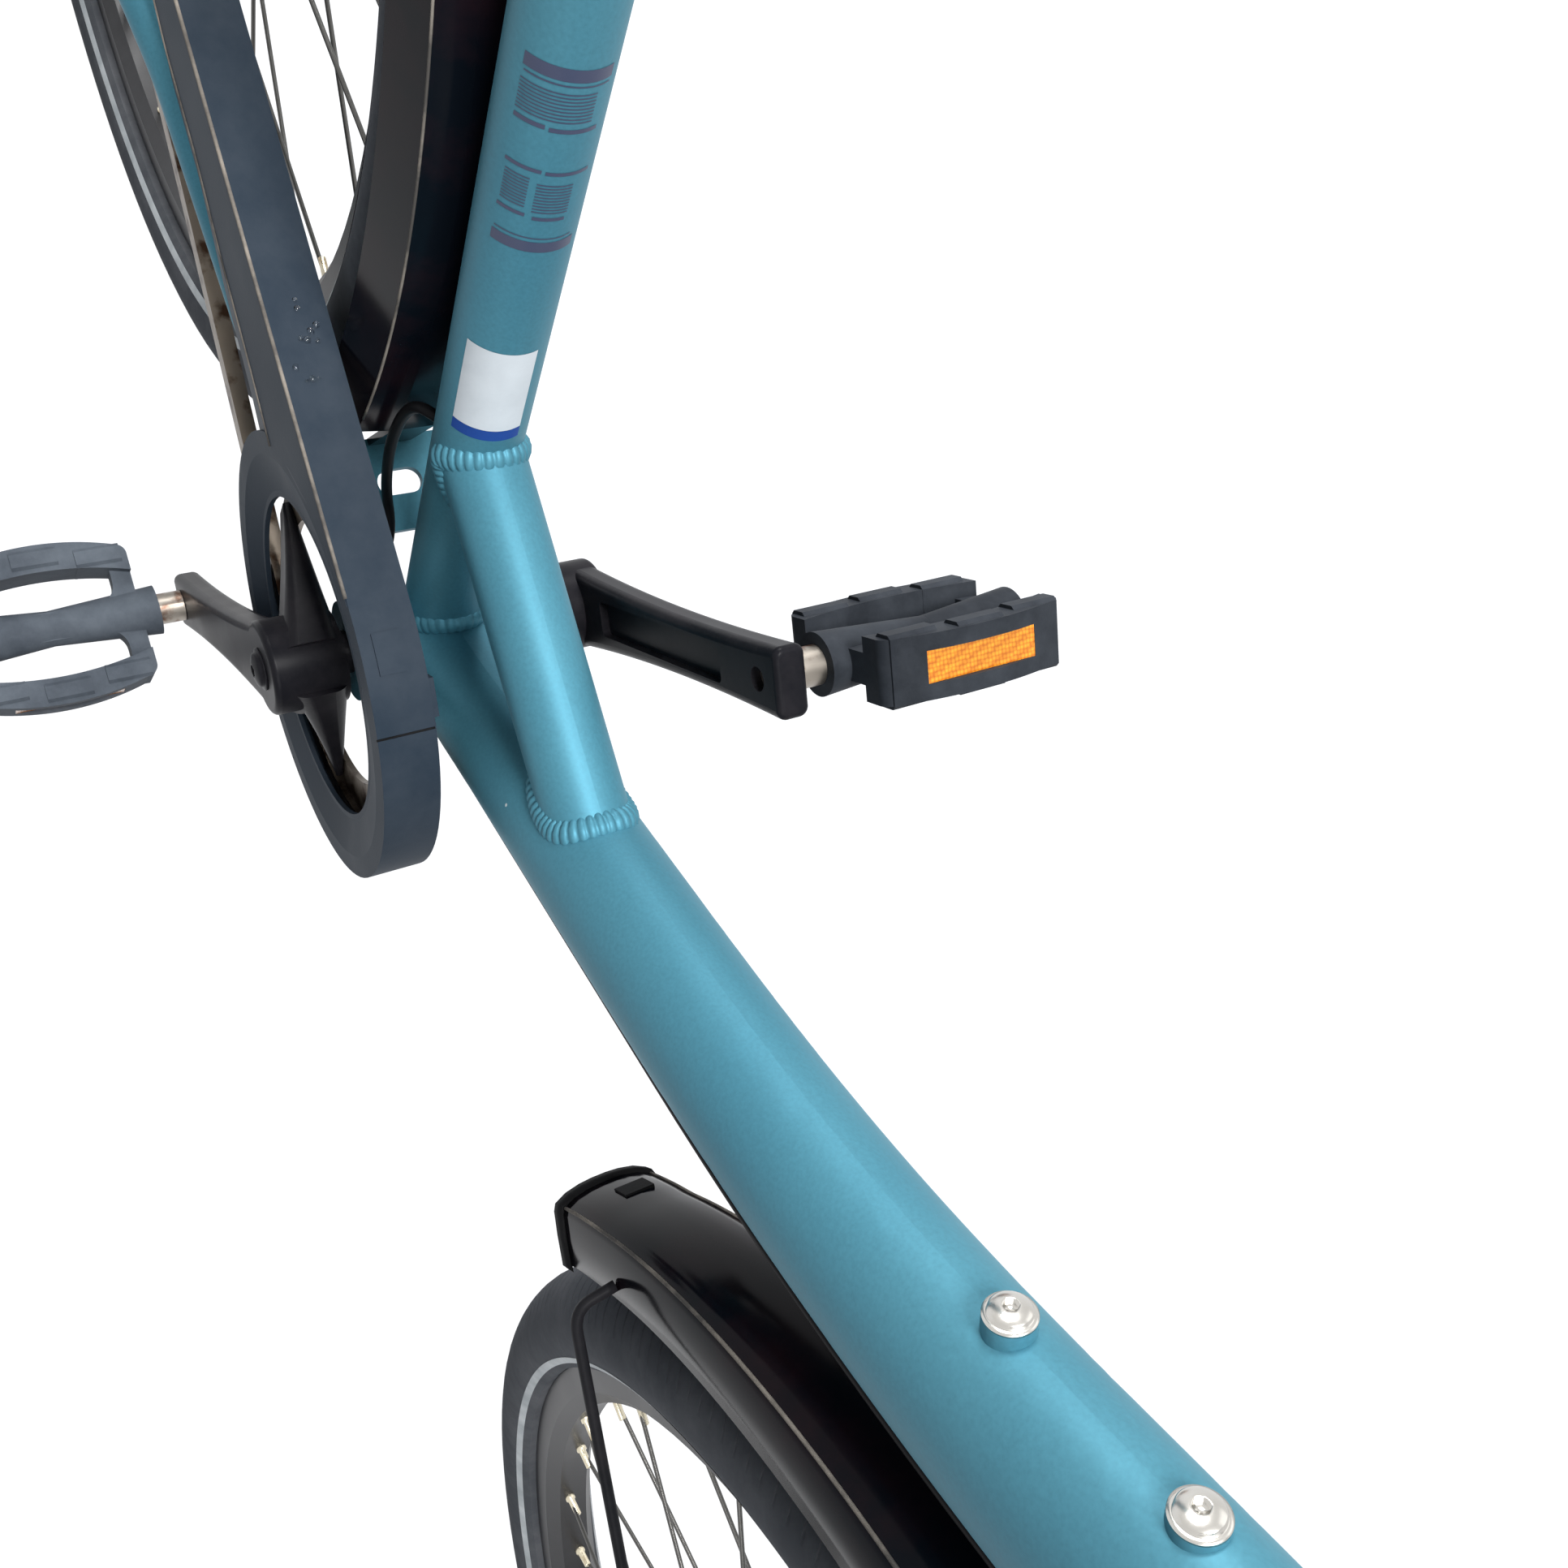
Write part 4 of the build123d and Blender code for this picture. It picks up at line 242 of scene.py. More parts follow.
def wheel_rubber(name, joint_name):
    """Dusty rubber with slanted tread grooves. A place is turned into its angle round the axle, atan2(up, forward),
    and its distance across. The grooves are the rises of the fraction of angle times radius over the pitch, and
    stop at the shoulder, a distance from the axle."""
    material = dusty_finish(name, "#5e6166", "#8f9094", 1.3, 0.06, 0.62, 0.85, 0.6)
    tree = material.node_tree
    shader = next(node for node in tree.nodes if node.type == "BSDF_PRINCIPLED")
    place = next(node for node in tree.nodes if node.type == "TEX_COORD").outputs["Object"]
    offset = add(tree, "ShaderNodeVectorMath", {1: tuple(joints[joint_name]["pos_m"])}, {0: place},
                 operation="SUBTRACT")
    parts = [add(tree, "ShaderNodeVectorMath", {1: tuple(axis)}, {0: offset.outputs[0]}, operation="DOT_PRODUCT")
             for axis in bike_axes]
    turn = add(tree, "ShaderNodeMath", links={0: parts[2].outputs["Value"], 1: parts[0].outputs["Value"]},
               operation="ARCTAN2")
    beside = add(tree, "ShaderNodeMath", links={0: parts[1].outputs["Value"]}, operation="ABSOLUTE")
    slant = add(tree, "ShaderNodeMath", {1: 1000 * TREAD_SLANT / TREAD_PITCH_MM}, {0: beside.outputs[0]},
                operation="MULTIPLY")
    steps = add(tree, "ShaderNodeMath", {1: TYRE_OUTSIDE_MM / TREAD_PITCH_MM},
                {0: turn.outputs[0], 2: slant.outputs[0]}, operation="MULTIPLY_ADD")
    share = add(tree, "ShaderNodeMath", links={0: steps.outputs[0]}, operation="FRACT")
    groove = ramp(tree, share.outputs[0], *GROOVE_EDGE)
    away = add(tree, "ShaderNodeVectorMath", links={0: offset.outputs[0]}, operation="LENGTH")
    outside = ramp(tree, away.outputs["Value"], *TREAD_SHOULDER_M)
    depth = add(tree, "ShaderNodeMath", {0: 1.0}, {1: outside}, operation="SUBTRACT")
    cut = add(tree, "ShaderNodeMath", links={0: groove, 1: depth.outputs[0]}, operation="MAXIMUM")
    grain = next(node for node in tree.nodes if node.type == "BUMP")
    tread = add(tree, "ShaderNodeBump", {"Distance": GROOVE_MM / 1000},
                {"Height": cut.outputs[0], "Normal": grain.outputs[0]})
    tree.links.new(tread.outputs[0], shader.inputs["Normal"])
    return material


front_rubber = wheel_rubber("tyre_rubber_front", "front_wheel_spin")
rear_rubber = wheel_rubber("tyre_rubber_rear", "rear_wheel_spin")
stripe_white, stripe_tree, stripe_shader, stripe_place = start_material("reflective_band_grey")
stripe_dirt = add(stripe_tree, "ShaderNodeTexNoise", {"Scale": 60.0, "Detail": 5.0}, {"Vector": stripe_place})
stripe_tree.links.new(
    ramp(stripe_tree, stripe_dirt.outputs["Fac"], 0.3, 0.7, colour("#b4bcc0"), colour("#e6ebed")),
    stripe_shader.inputs["Base Color"],
)
stripe_shader.inputs["Roughness"].default_value = 0.5
print("tyre", front_rubber.name)

# %% [markdown]
# Bare metals are brushed or polished by hand or machine, which leaves lines along the work. A stretched noise
# gives those lines as roughness and a very low bump. Steel parts near the road also take a brown bloom of rust.

# %% Bare metals
TOOL_LINES_PER_M = (40.0, 40.0, 700.0)
BLOTCHES_PER_M = 90.0
BLOTCH_SOFTNESS = 0.12


def worked_metal(name, base, stain, rough_low, rough_high, stain_low):
    """Polished or brushed metal: stretched noise for the tool lines, blotches of stain over a threshold."""
    material, tree, shader, place = start_material(name)
    stretched = add(tree, "ShaderNodeMapping", {"Scale": TOOL_LINES_PER_M}, {"Vector": place})
    marks = add(tree, "ShaderNodeTexNoise", {"Scale": 1.0, "Detail": 3.0}, {"Vector": stretched.outputs[0]})
    rough = add(tree, "ShaderNodeMapRange", {"To Min": rough_low, "To Max": rough_high},
                {"Value": marks.outputs["Fac"]})
    tree.links.new(rough.outputs["Result"], shader.inputs["Roughness"])
    blotch = add(tree, "ShaderNodeTexNoise", {"Scale": BLOTCHES_PER_M, "Detail": 6.0}, {"Vector": place})
    amount = ramp(tree, blotch.outputs["Fac"], stain_low, stain_low + BLOTCH_SOFTNESS)
    mixed = add(tree, "ShaderNodeMix", {"A": colour(base), "B": colour(stain)}, {"Factor": amount},
                data_type="RGBA")
    tree.links.new(mixed.outputs["Result"], shader.inputs["Base Color"])
    shader.inputs["Metallic"].default_value = 1.0
    bump(tree, shader, marks.outputs["Fac"], 0.01, 0.4)
    return material


stainless = worked_metal("stainless_steel_polished", "#c9c6c0", "#8d8478", 0.16, 0.3, 0.7)
zinc_steel = worked_metal("zinc_plated_steel_rusty", "#9b948b", "#5d3a26", 0.3, 0.5, 0.52)
satin_alloy = worked_metal("satin_aluminium", "#b9babb", "#8c8a88", 0.32, 0.46, 0.75)
rotor_steel = worked_metal("rotor_steel_brushed", "#a9a6a2", "#6f5a49", 0.22, 0.38, 0.68)
chain_steel = worked_metal("chain_steel_oiled", "#6f665c", "#3a2a20", 0.3, 0.5, 0.5)
spoke_steel = worked_metal("spoke_steel_dark", "#5d5c5a", "#3a322c", 0.28, 0.45, 0.66)
brass = worked_metal("nipple_nickelled_brass", "#d8cfb8", "#9a7c4c", 0.2, 0.35, 0.6)
print("metals ready")

# %% [markdown]
# The last finishes are the reflectors and lenses and the saddle. A reflector is clear acrylic, coloured through,
# with a honeycomb of small prisms behind it, and a lamp's lens is made the same way. The saddle is vinyl with a
# leather grain.

# %% Reflector, vinyl and lens
PRISM_MM = 1.6


def prism_acrylic(name, deep, bright):
    """Clear coloured plastic with cells: brighter in each cell's middle and dark along its edges."""
    material, tree, shader, place = start_material(name)
    cells = add(tree, "ShaderNodeTexVoronoi", {"Scale": 1000 / PRISM_MM, "Randomness": 0.25}, {"Vector": place})
    tree.links.new(
        ramp(tree, cells.outputs["Distance"], 0.1, 0.75, colour(bright), colour(deep)), shader.inputs["Base Color"]
    )
    shader.inputs["Roughness"].default_value = 0.18
    shader.inputs["Coat Weight"].default_value = 0.15
    shader.inputs["Coat Roughness"].default_value = 0.05
    bump(tree, shader, cells.outputs["Distance"], 0.3, 0.6)
    return material


amber_prisms = prism_acrylic("acrylic_reflector_amber", "#b8600a", "#f2a52a")
red_prisms = prism_acrylic("acrylic_reflector_red", "#4a0406", "#a80f12")
clear_prisms = prism_acrylic("acrylic_lens_clear", "#aab2b8", "#eef2f4")
saddle_vinyl = dusty_finish("grained_vinyl_black", "#161616", "#343334", 2.2, 0.25, 0.45, 0.6, 0.3)
print("lens and vinyl ready")

# %% [markdown]
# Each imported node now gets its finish. Nodes keep their own shape, so only the material in their slot changes.

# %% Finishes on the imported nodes
finishes = {
    teal_lacquer: ["head_tube", "down_tube", "brace_tube", "seat_tube", "bottom_bracket", "chain_stays",
                   "seat_stays", "rear_dropouts", "fork"],
    powder_coat: ["headset", "rear_rack", "rear_caliper", "front_caliper", "stand_bracket", "side_stand",
                  "brake_levers", "bell", "rear_fender_stays", "front_fender_stays", "headlight", "front_hub",
                  "rear_hub"],
    guard_nylon: ["chain_guard"],
    guard_gloss: ["rear_fender", "front_fender"],
    forged_black: ["crank_right", "crank_left"],
    pedal_resin: ["pedal_right"],
    pedal_resin_painted_shade: ["pedal_left"],
    front_rubber: ["front_tyre"],
    rear_rubber: ["rear_tyre"],
    rim_anodised: ["front_rim", "rear_rim"],
    spoke_steel: ["front_spokes", "rear_spokes"],
    satin_alloy: ["stem", "handlebar", "seat_post", "seat_clamp"],
    zinc_steel: ["pedal_axles", "rear_axle", "front_axle"],
    rotor_steel: ["front_rotor", "rear_rotor"],
    chain_steel: ["chain", "chainring"],
    amber_prisms: ["pedal_right_reflectors", "pedal_left_reflectors"],
    red_prisms: ["rear_light"],
    grip_rubber: ["grips"],
    saddle_vinyl: ["saddle"],
    flap_rubber: ["front_mudflap"],
    cable_jacket: ["down_tube_cable"],
}
for material, names in finishes.items():
    for name in names:
        slots = nodes[name].data.materials
        slots.clear()
        slots.append(material)
plain = sorted(set(nodes) - {name for names in finishes.values() for name in names})
print("nodes without a finish", plain)

# %% [markdown]
# Every new piece below is a surface worked out with numpy: a grid of points, one row per step along the piece and
# one column per step round it. One function turns such a grid into a mesh, closing it where it goes all the way
# round and putting a fan of faces over an open end, and rides it on the body that carries it.

# %% From a grid of points to a mesh


def make_piece(name, vertices, faces, material, body, smooth=True):
    """Puts vertices, in mm in the upright frame, and faces into a mesh that rides on a body."""
    mesh = bpy.data.meshes.new(name)
    mesh.from_pydata(to_row(vertices).tolist(), [], faces)
    mesh.polygons.foreach_set("use_smooth", np.full(len(mesh.polygons), smooth))
    mesh.materials.append(material)
    mesh.update()
    piece = bpy.data.objects.new(name, mesh)
    bpy.context.scene.collection.objects.link(piece)
    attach(piece, body)
    return piece


def grid_faces(rows, columns, closed_rows=False, closed_columns=True):
    """Quads between neighbouring rows and columns: corner (i, j) is vertex i times columns plus j."""
    i = np.arange(rows if closed_rows else rows - 1)
    j = np.arange(columns if closed_columns else columns - 1)
    a, b = np.meshgrid(i, j, indexing="ij")
    c, d = (a + 1) % rows, (b + 1) % columns
    quads = np.stack([a * columns + b, a * columns + d, c * columns + d, c * columns + b], axis=-1)
    return quads.reshape(-1, 4).tolist()


def skin(name, grid, material, body, closed_rows=False, closed_columns=True, smooth=True):
    """A grid of shape (rows, columns, 3) as a piece; each open end of a tube is closed by one face."""
    rows, columns = grid.shape[:2]
    faces = grid_faces(rows, columns, closed_rows, closed_columns)
    if closed_columns and not closed_rows:
        faces.append(list(range(columns))[::-1])
        faces.append([(rows - 1) * columns + k for k in range(columns)])
    return make_piece(name, grid.reshape(-1, 3), faces, material, body, smooth)


def sweep_grid(path, radius, sides, closed=False):
    """Rings round a path: centre plus radius times (cos a side vector + sin a second one). The side vectors
    come from each tangent crossed with the direction that the path bends least in."""
    path = np.asarray(path, float)
    if closed:
        tangent = np.roll(path, -1, axis=0) - np.roll(path, 1, axis=0)
    else:
        tangent = np.gradient(path, axis=0)
    tangent /= np.linalg.norm(tangent, axis=1, keepdims=True)
    flat = np.linalg.svd(path - path.mean(axis=0))[2][-1]
    side = np.cross(tangent, flat)
    side /= np.linalg.norm(side, axis=1, keepdims=True)
    second = np.cross(tangent, side)
    turn = np.linspace(0, 2 * np.pi, sides, endpoint=False)
    size = np.broadcast_to(np.asarray(radius, float), (len(path),))[:, None, None]
    ring = np.cos(turn)[None, :, None] * side[:, None] + np.sin(turn)[None, :, None] * second[:, None]
    return path[:, None] + size * ring


def unit(vector):
    """A vector of length one."""
    vector = np.asarray(vector, float)
    return vector / np.linalg.norm(vector)


def across(direction):
    """Two vectors of length one at right angles to a direction and to each other."""
    direction = unit(direction)
    helper = np.array([0.0, 1.0, 0.0]) if abs(direction[1]) < 0.9 else np.array([1.0, 0.0, 0.0])
    first = unit(np.cross(direction, helper))
    return first, np.cross(direction, first)


def turned_grid(centre, axis, profile, sides):
    """A lathe shape: each (along, radius) of the profile becomes a ring round the axis through the centre."""
    first, second = across(axis)
    turn = np.linspace(0, 2 * np.pi, sides, endpoint=False)
    ring = np.cos(turn)[:, None] * first + np.sin(turn)[:, None] * second
    along, radius = np.array(profile, float).T
    return np.asarray(centre) + along[:, None, None] * unit(axis) + radius[:, None, None] * ring[None]


print("grid helpers ready")

# %% [markdown]
# The tubes are joined by hand-laid weld beads. A welder moves the torch in small steps, so the bead looks like a
# row of overlapping coins. The seam is where one tube's surface lines meet the other tube, which is a quadratic
# equation for each line, solved for all lines at once. A small ring is then swept along the seam, and its radius
# rises and falls once per coin.

# %% Weld beads
COIN_STEP_MM = 3.2
STEPS_PER_COIN = 6
BEAD_SIDES = 14
BEAD_MM, ROOT_BEAD_MM = 6.4, 5.6
WELD_SINK_SHARE = 0.62
ROOT_CLEAR_MM = 14
SEAT_ANGLE, LOW_TUBE_ANGLE = 66.6, 46.4
SEAT_TUBE_RADIUS, BRACE_RADIUS, LOW_TUBE_RADIUS = 15.9, 15.7, 23.2


def rising(degrees):
    """A direction in the bicycle's middle plane, its angle counted up from forward."""
    return np.array([np.cos(np.radians(degrees)), 0, np.sin(np.radians(degrees))])


seat_direction = rising(180 - SEAT_ANGLE)
low_direction = rising(LOW_TUBE_ANGLE)
brace_start = seat_direction * 124.0
brace_end = np.array([103.0, 0, 120.0])


def seam(start, direction, radius, other_start, other_direction, other_radius, turns):
    """Where the lines along one tube's surface meet another tube. With the gap between a line and the other
    tube's axis written as a + b t, the meeting is the first place where its length is the other radius."""
    direction, other_direction = unit(direction), unit(other_direction)
    first, second = across(direction)
    lines = start + radius * (np.cos(turns)[:, None] * first + np.sin(turns)[:, None] * second)
    gap = lines - other_start
    a = gap - (gap @ other_direction)[:, None] * other_direction
    b = direction - (direction @ other_direction) * other_direction
    qa, qb, qc = b @ b, 2 * a @ b, (a * a).sum(axis=1) - other_radius ** 2
    root = np.sqrt(np.maximum(qb ** 2 - 4 * qa * qc, 0))
    t = (-qb - root) / (2 * qa)
    return lines + t[:, None] * direction


def weld_bead(name, path, size, inner, body, closed=True):
    """A bead along a seam, one bulge of its radius for each coin, evenly spaced along its length. It is sunk
    towards a place inside the tubes, so that it lies flat."""
    step = np.linalg.norm(np.diff(path, axis=0, append=path[:1] if closed else path[-1:]), axis=1)
    length = np.concatenate([[0], np.cumsum(step)[:-1]])
    coins = max(4, round(step.sum() / COIN_STEP_MM))
    even = np.linspace(0, step.sum(), coins * STEPS_PER_COIN, endpoint=not closed)
    loop = np.vstack([path, path[:1]]) if closed else path
    marks = np.append(length, step.sum()) if closed else length
    path = np.stack([np.interp(even, marks, loop[:, k]) for k in range(3)], axis=1)
    path = path + WELD_SINK_SHARE * size * (inner - path) / np.linalg.norm(inner - path, axis=1, keepdims=True)
    phase = np.abs(np.sin(np.linspace(0, coins * np.pi, len(path), endpoint=not closed)))
    rings = sweep_grid(path, size * (0.88 + 0.14 * phase ** 0.6), BEAD_SIDES, closed)
    return skin(name, rings, teal_lacquer, body, closed_rows=closed)


full_turn = np.linspace(0, 2 * np.pi, 120, endpoint=False)
brace_line = unit(brace_end - brace_start)
seat_seam = seam(brace_start + brace_line * 60, -brace_line, BRACE_RADIUS, np.zeros(3), seat_direction,
                 SEAT_TUBE_RADIUS, full_turn)
weld_bead("weld_brace_to_seat_tube", seat_seam, BEAD_MM, brace_start + brace_line * 8, "frame")
down_seam = seam(brace_start, brace_line, BRACE_RADIUS, np.zeros(3), low_direction, LOW_TUBE_RADIUS, full_turn)
weld_bead("weld_brace_to_down_tube", down_seam, BEAD_MM, brace_end - brace_line * 10, "frame")
# The seat tube's seam shows only in front of the bottom bracket, so its hidden half is left out
seat_root = seam(seat_direction * 90, -seat_direction, SEAT_TUBE_RADIUS, np.zeros(3), low_direction,
                 LOW_TUBE_RADIUS, full_turn)
seat_root = seat_root[seat_root @ low_direction > ROOT_CLEAR_MM]
order = np.argsort(np.arctan2(seat_root[:, 1], seat_root @ low_direction - ROOT_CLEAR_MM))
weld_bead("weld_seat_tube_to_down_tube", seat_root[order], ROOT_BEAD_MM, seat_direction * 18, "frame", closed=False)
print("seams", len(seat_seam), len(down_seam), len(seat_root))

# %% [markdown]
# Two stainless button-head bolts close the threaded bosses on the down tube until a bottle cage is fitted. Each
# has a domed head with a hexagonal socket, a thin washer under it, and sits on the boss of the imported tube. The
# dome and socket are one lathe profile whose inner part is given six sides.

# %% Bottle bolts
MIDDLE_TUBE_ANGLE = 59.4
MIDDLE_TUBE_RADIUS, BOSS_HEIGHT_MM = 29.5, 4.0
LOW_TUBE_LENGTH_MM = 326.0
BOLT_PLACES_MM = {"lower": 74.0, "upper": 138.0}
HEAD_RADIUS_MM = 5.9
SOCKET_SHARE = 0.36 / 0.95
middle_direction = rising(MIDDLE_TUBE_ANGLE)
boss_out = np.array([-middle_direction[2], 0, middle_direction[0]])


def button_bolt(name, seat, axis, head_radius, material, body, sides=48):
    """A domed head: height times sqrt(1 - (r/R)^2) flattened on top, with a socket whose wall is a hexagon."""
    r = np.linspace(0.98, 0.42, 9)
    dome = [(0.9 + 2.6 * np.sqrt(1 - (k * 0.92) ** 2) / 0.92, k * head_radius) for k in r]
    profile = [(0.0, head_radius * 1.22), (0.7, head_radius * 1.22), (0.9, head_radius * 1.05),
               (0.9, head_radius)] + dome
    outer = turned_grid(seat, axis, profile, sides)
    turn = np.linspace(0, 2 * np.pi, sides, endpoint=False)
    hexagon = SOCKET_SHARE * head_radius * np.cos(np.pi / 6) / np.cos((turn % (np.pi / 3)) - np.pi / 6)
    first, second = across(axis)
    ring = np.cos(turn)[:, None] * first + np.sin(turn)[:, None] * second
    top = profile[-1][0]
    levels = [(top - 0.05, 1.0), (top - 1.6, 1.0), (top - 1.7, 0.02)]
    socket = np.stack([seat + depth * unit(axis) + share * hexagon[:, None] * ring for depth, share in levels])
    return skin(name, np.concatenate([outer, socket]), material, body)


for label, along in BOLT_PLACES_MM.items():
    seat = low_direction * LOW_TUBE_LENGTH_MM + middle_direction * along
    seat = seat + boss_out * (MIDDLE_TUBE_RADIUS + BOSS_HEIGHT_MM)
    button_bolt("bottle_bolt_" + label, seat, boss_out, HEAD_RADIUS_MM, stainless, "frame")
print("bolts", list(BOLT_PLACES_MM))

# %% [markdown]
# The seat tube carries printed bands of dark lines under the lacquer, and lower down a paper label. Both are thin
# sheets wrapped round the tube: a rectangle of height by angle, lifted a tenth of a millimetre off the surface.
# The words that such bands and labels carry are left out, so the label is a blank card with a blue lower strip.

# %% Bands and label on the seat tube
PRINT_LIFT_MM = 0.12
band_ink, _, band_shader, _ = start_material("printed_ink_aubergine")
band_shader.inputs["Base Color"].default_value = colour("#39405a")
band_shader.inputs["Roughness"].default_value = 0.45
label_paper = dusty_finish("label_paper_white", "#dfe5ea", "#b9c0c6", 6.0, 0.004, 0.35, 0.5, 0.5)
label_blue = dusty_finish("label_paper_blue", "#2a4f9e", "#1d3566", 6.0, 0.004, 0.35, 0.5, 0.4)


def wrapped_patch(name, low_mm, high_mm, turn_low, turn_high, material, rows=3, columns=24):
    """A sheet round the seat tube: height along the tube by angle round it, measured from forward to the right."""
    height, turn = np.meshgrid(np.linspace(low_mm, high_mm, rows),
                               np.radians(np.linspace(turn_low, turn_high, columns)), indexing="ij")
    seat_forward = np.array([np.sin(np.radians(SEAT_ANGLE)), 0, np.cos(np.radians(SEAT_ANGLE))])
    right = np.array([0.0, -1.0, 0.0])
    around = np.cos(turn)[..., None] * seat_forward + np.sin(turn)[..., None] * right
    place = height[..., None] * seat_direction + (SEAT_TUBE_RADIUS + PRINT_LIFT_MM) * around
    return skin(name, place, material, "frame", closed_columns=False)


# Columns: low height, high height, angle where it starts, angle where it ends
band_rows = [
    (288.2, 292.2, -36, 62), (286.6, 287.1, -34, 60), (272.0, 273.4, 28, 62), (271.6, 273.0, -30, 24),
    (257.2, 258.4, 22, 62), (257.0, 258.2, -34, 18), (241.2, 242.4, 30, 62), (240.6, 241.8, -14, 22),
    (233.6, 234.0, -30, 60), (228.6, 232.4, -36, 62),
]
for index, (low, high, start, end) in enumerate(band_rows):
    wrapped_patch(f"seat_band_{index:02d}", low, high, start, end, band_ink)
# Columns: low height, high height, angle where it starts, angle where it ends, how many lines
line_groups = [(275.0, 284.0, -20, 62, 9), (244.4, 254.4, 32, 60, 10), (243.4, 253.2, -16, 24, 10)]
LINE_MM = 0.42
for index, (low, high, start, end, count) in enumerate(line_groups):
    for line in range(count):
        height = low + (high - low) * line / (count - 1)
        wrapped_patch(f"seat_lines_{index}_{line:02d}", height, height + LINE_MM, start, end, band_ink, rows=2)
wrapped_patch("seat_label_card", 148.0, 185.0, -24, 66, label_paper, rows=8, columns=40)
wrapped_patch("seat_label_strip", 143.0, 147.9, -24, 66, label_blue, rows=3, columns=40)
print("bands", len(band_rows), "line groups", len(line_groups))

# %% [markdown]
# The chain guard is moulded with a tall flat side that runs from the ring round the chainring to the rear hub. Its
# lower part leans inwards below a crease. The side is one thin shell: at each place along it, a closed loop goes
# down the outside and back up the inside. The front end follows the ring, where x = -sqrt(r^2 - z^2). As z depends
# on x there, the two are worked out in turns until they settle. Pale cords on the top edge and the crease are
# painted highlights.

# %% Side of the chain guard
GUARD_FACE_Y, GUARD_BACK_X = -55.25, -428.0
GUARD_RING_R, GUARD_SHELL_MM = 88.0, 1.1
GUARD_TOP_MM, GUARD_FALL_MM, GUARD_RUN_MM = 91.6, 9.6, 450
GUARD_LOW_X = [-428, -255, -228, -188, -147, -105, -65]
GUARD_LOW_Z = [66, 39, 30, 30, 21, 16.5, 8]
GUARD_CREASE_SHARE, GUARD_LEAN_MM = 0.6, 4.0


def guard_top(x):
    """Height of the guard's top line, which falls 9.6 mm over a run of 450."""
    return GUARD_TOP_MM + x / GUARD_RUN_MM * GUARD_FALL_MM


def guard_side_height(x, share):
    """Height at a share of the way down the side: the top line, then the crease, then the lower line."""
    top = guard_top(x)
    low = np.interp(x, GUARD_LOW_X, GUARD_LOW_Z)
    crease = top - (top - low) * GUARD_CREASE_SHARE
    return np.where(share < 0.5, top + (crease - top) * share * 2, crease + (low - crease) * (share * 2 - 1))


shares = np.linspace(0, 1, 15)
front_x = np.full(len(shares), -GUARD_RING_R / 2)
for repeat in range(12):
    front_x = -np.sqrt(np.maximum(GUARD_RING_R ** 2 - guard_side_height(front_x, shares) ** 2, 9.0))
along = np.linspace(0, 1, 60)[:, None]
side_x = front_x[None] * (1 - along) + GUARD_BACK_X * along
side_z = guard_side_height(side_x, shares[None])
side_y = GUARD_FACE_Y + np.maximum(shares - 0.5, 0) * 2 * GUARD_LEAN_MM + np.zeros_like(side_x)
outside = np.stack([side_x, side_y, side_z], axis=-1)
inside = (outside + np.array([0.0, GUARD_SHELL_MM, 0.0]))[:, ::-1]
skin("guard_side", np.concatenate([outside, inside], axis=1), guard_nylon, "frame", smooth=False)
# Pale cords along the top edge and along the crease: painted highlights
edge_x = np.linspace(-6, -432, 90)
top_edge = np.stack([edge_x, np.full(90, -55.0), guard_top(edge_x) + 0.3], axis=1)
skin("guard_painted_highlight_edge", sweep_grid(top_edge, 0.75, 8), painted_highlight_plastic, "frame")
crease_line = outside[:, len(shares) // 2] + np.array([0.0, -0.1, 0.0])
skin("guard_painted_highlight_crease", sweep_grid(crease_line, 0.45, 8), painted_highlight_plastic, "frame")
print("guard side", outside.shape)

# %% [markdown]
# The front mudguard is softer than its packed form: a rounded section with a crease on each shoulder, which
# narrows, drops and leans to the right over its last 35 degrees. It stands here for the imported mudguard, as a
# shell with one closed outline for each angle. A place on a mudguard is axle plus r (cos a, sin a), with a counted
# up from forward.

# %% Shell of the front mudguard
MIDDLE_PLANE = np.array([1.0, 0.0, 1.0])
WALL_MM = 2.2
SECTION_R = np.array([380.0, 391.0, 399.5, 402.0, 404.2, 405.4, 405.8])
SECTION_Y = np.array([30.0, 28.6, 27.0, 25.4, 19.0, 11.0, 4.0])
END_NARROWING, END_SHIFT_MM, END_DROP_MM = 0.27, 7.5, 4.0
END_FROM, END_DEGREES = 138, 35


def arc_place(axle, radius, degrees, y):
    """Places on a circle round an axle, the angle counted upwards from forward."""
    turn = np.radians(degrees)
    y = np.broadcast_to(y, np.shape(turn * radius))
    return axle * MIDDLE_PLANE + np.stack([np.cos(turn) * radius, y, np.sin(turn) * radius], axis=-1)


def section(half_widths, radii, middle):
    """Outline across a mudguard as (radius, y): the outside from left to right, then back along the inside."""
    half = list(zip(radii, half_widths))
    outer = half + [(r, -y) for r, y in reversed(half)]
    inner = [(r - WALL_MM, y * (1 - WALL_MM / SECTION_Y[0])) for r, y in outer][::-1]
    return np.array([(r, y + middle) for r, y in outer + inner])


def late_share(degrees):
    """How far along the mudguard's last 35 degrees a place is, from 0 to 1."""
    return np.clip((degrees - END_FROM) / END_DEGREES, 0, 1)


def front_section(degrees):
    """The section at an angle: the same all along, but it narrows and moves to the right towards its end."""
    late = late_share(degrees)
    half_widths, radii = SECTION_Y * (1 - END_NARROWING * late), SECTION_R - END_DROP_MM * late ** 2
    return section(half_widths, radii, -END_SHIFT_MM * late)


def shell_piece(name, axle, angles, sections, material, body):
    """Part of a mudguard: one outline for each angle, placed round the axle."""
    loops = np.stack([sections(angle) for angle in angles])
    turn = angles[:, None] + np.zeros(loops.shape[1])
    return skin(name, arc_place(axle, loops[..., 0], turn, loops[..., 1]), material, body)


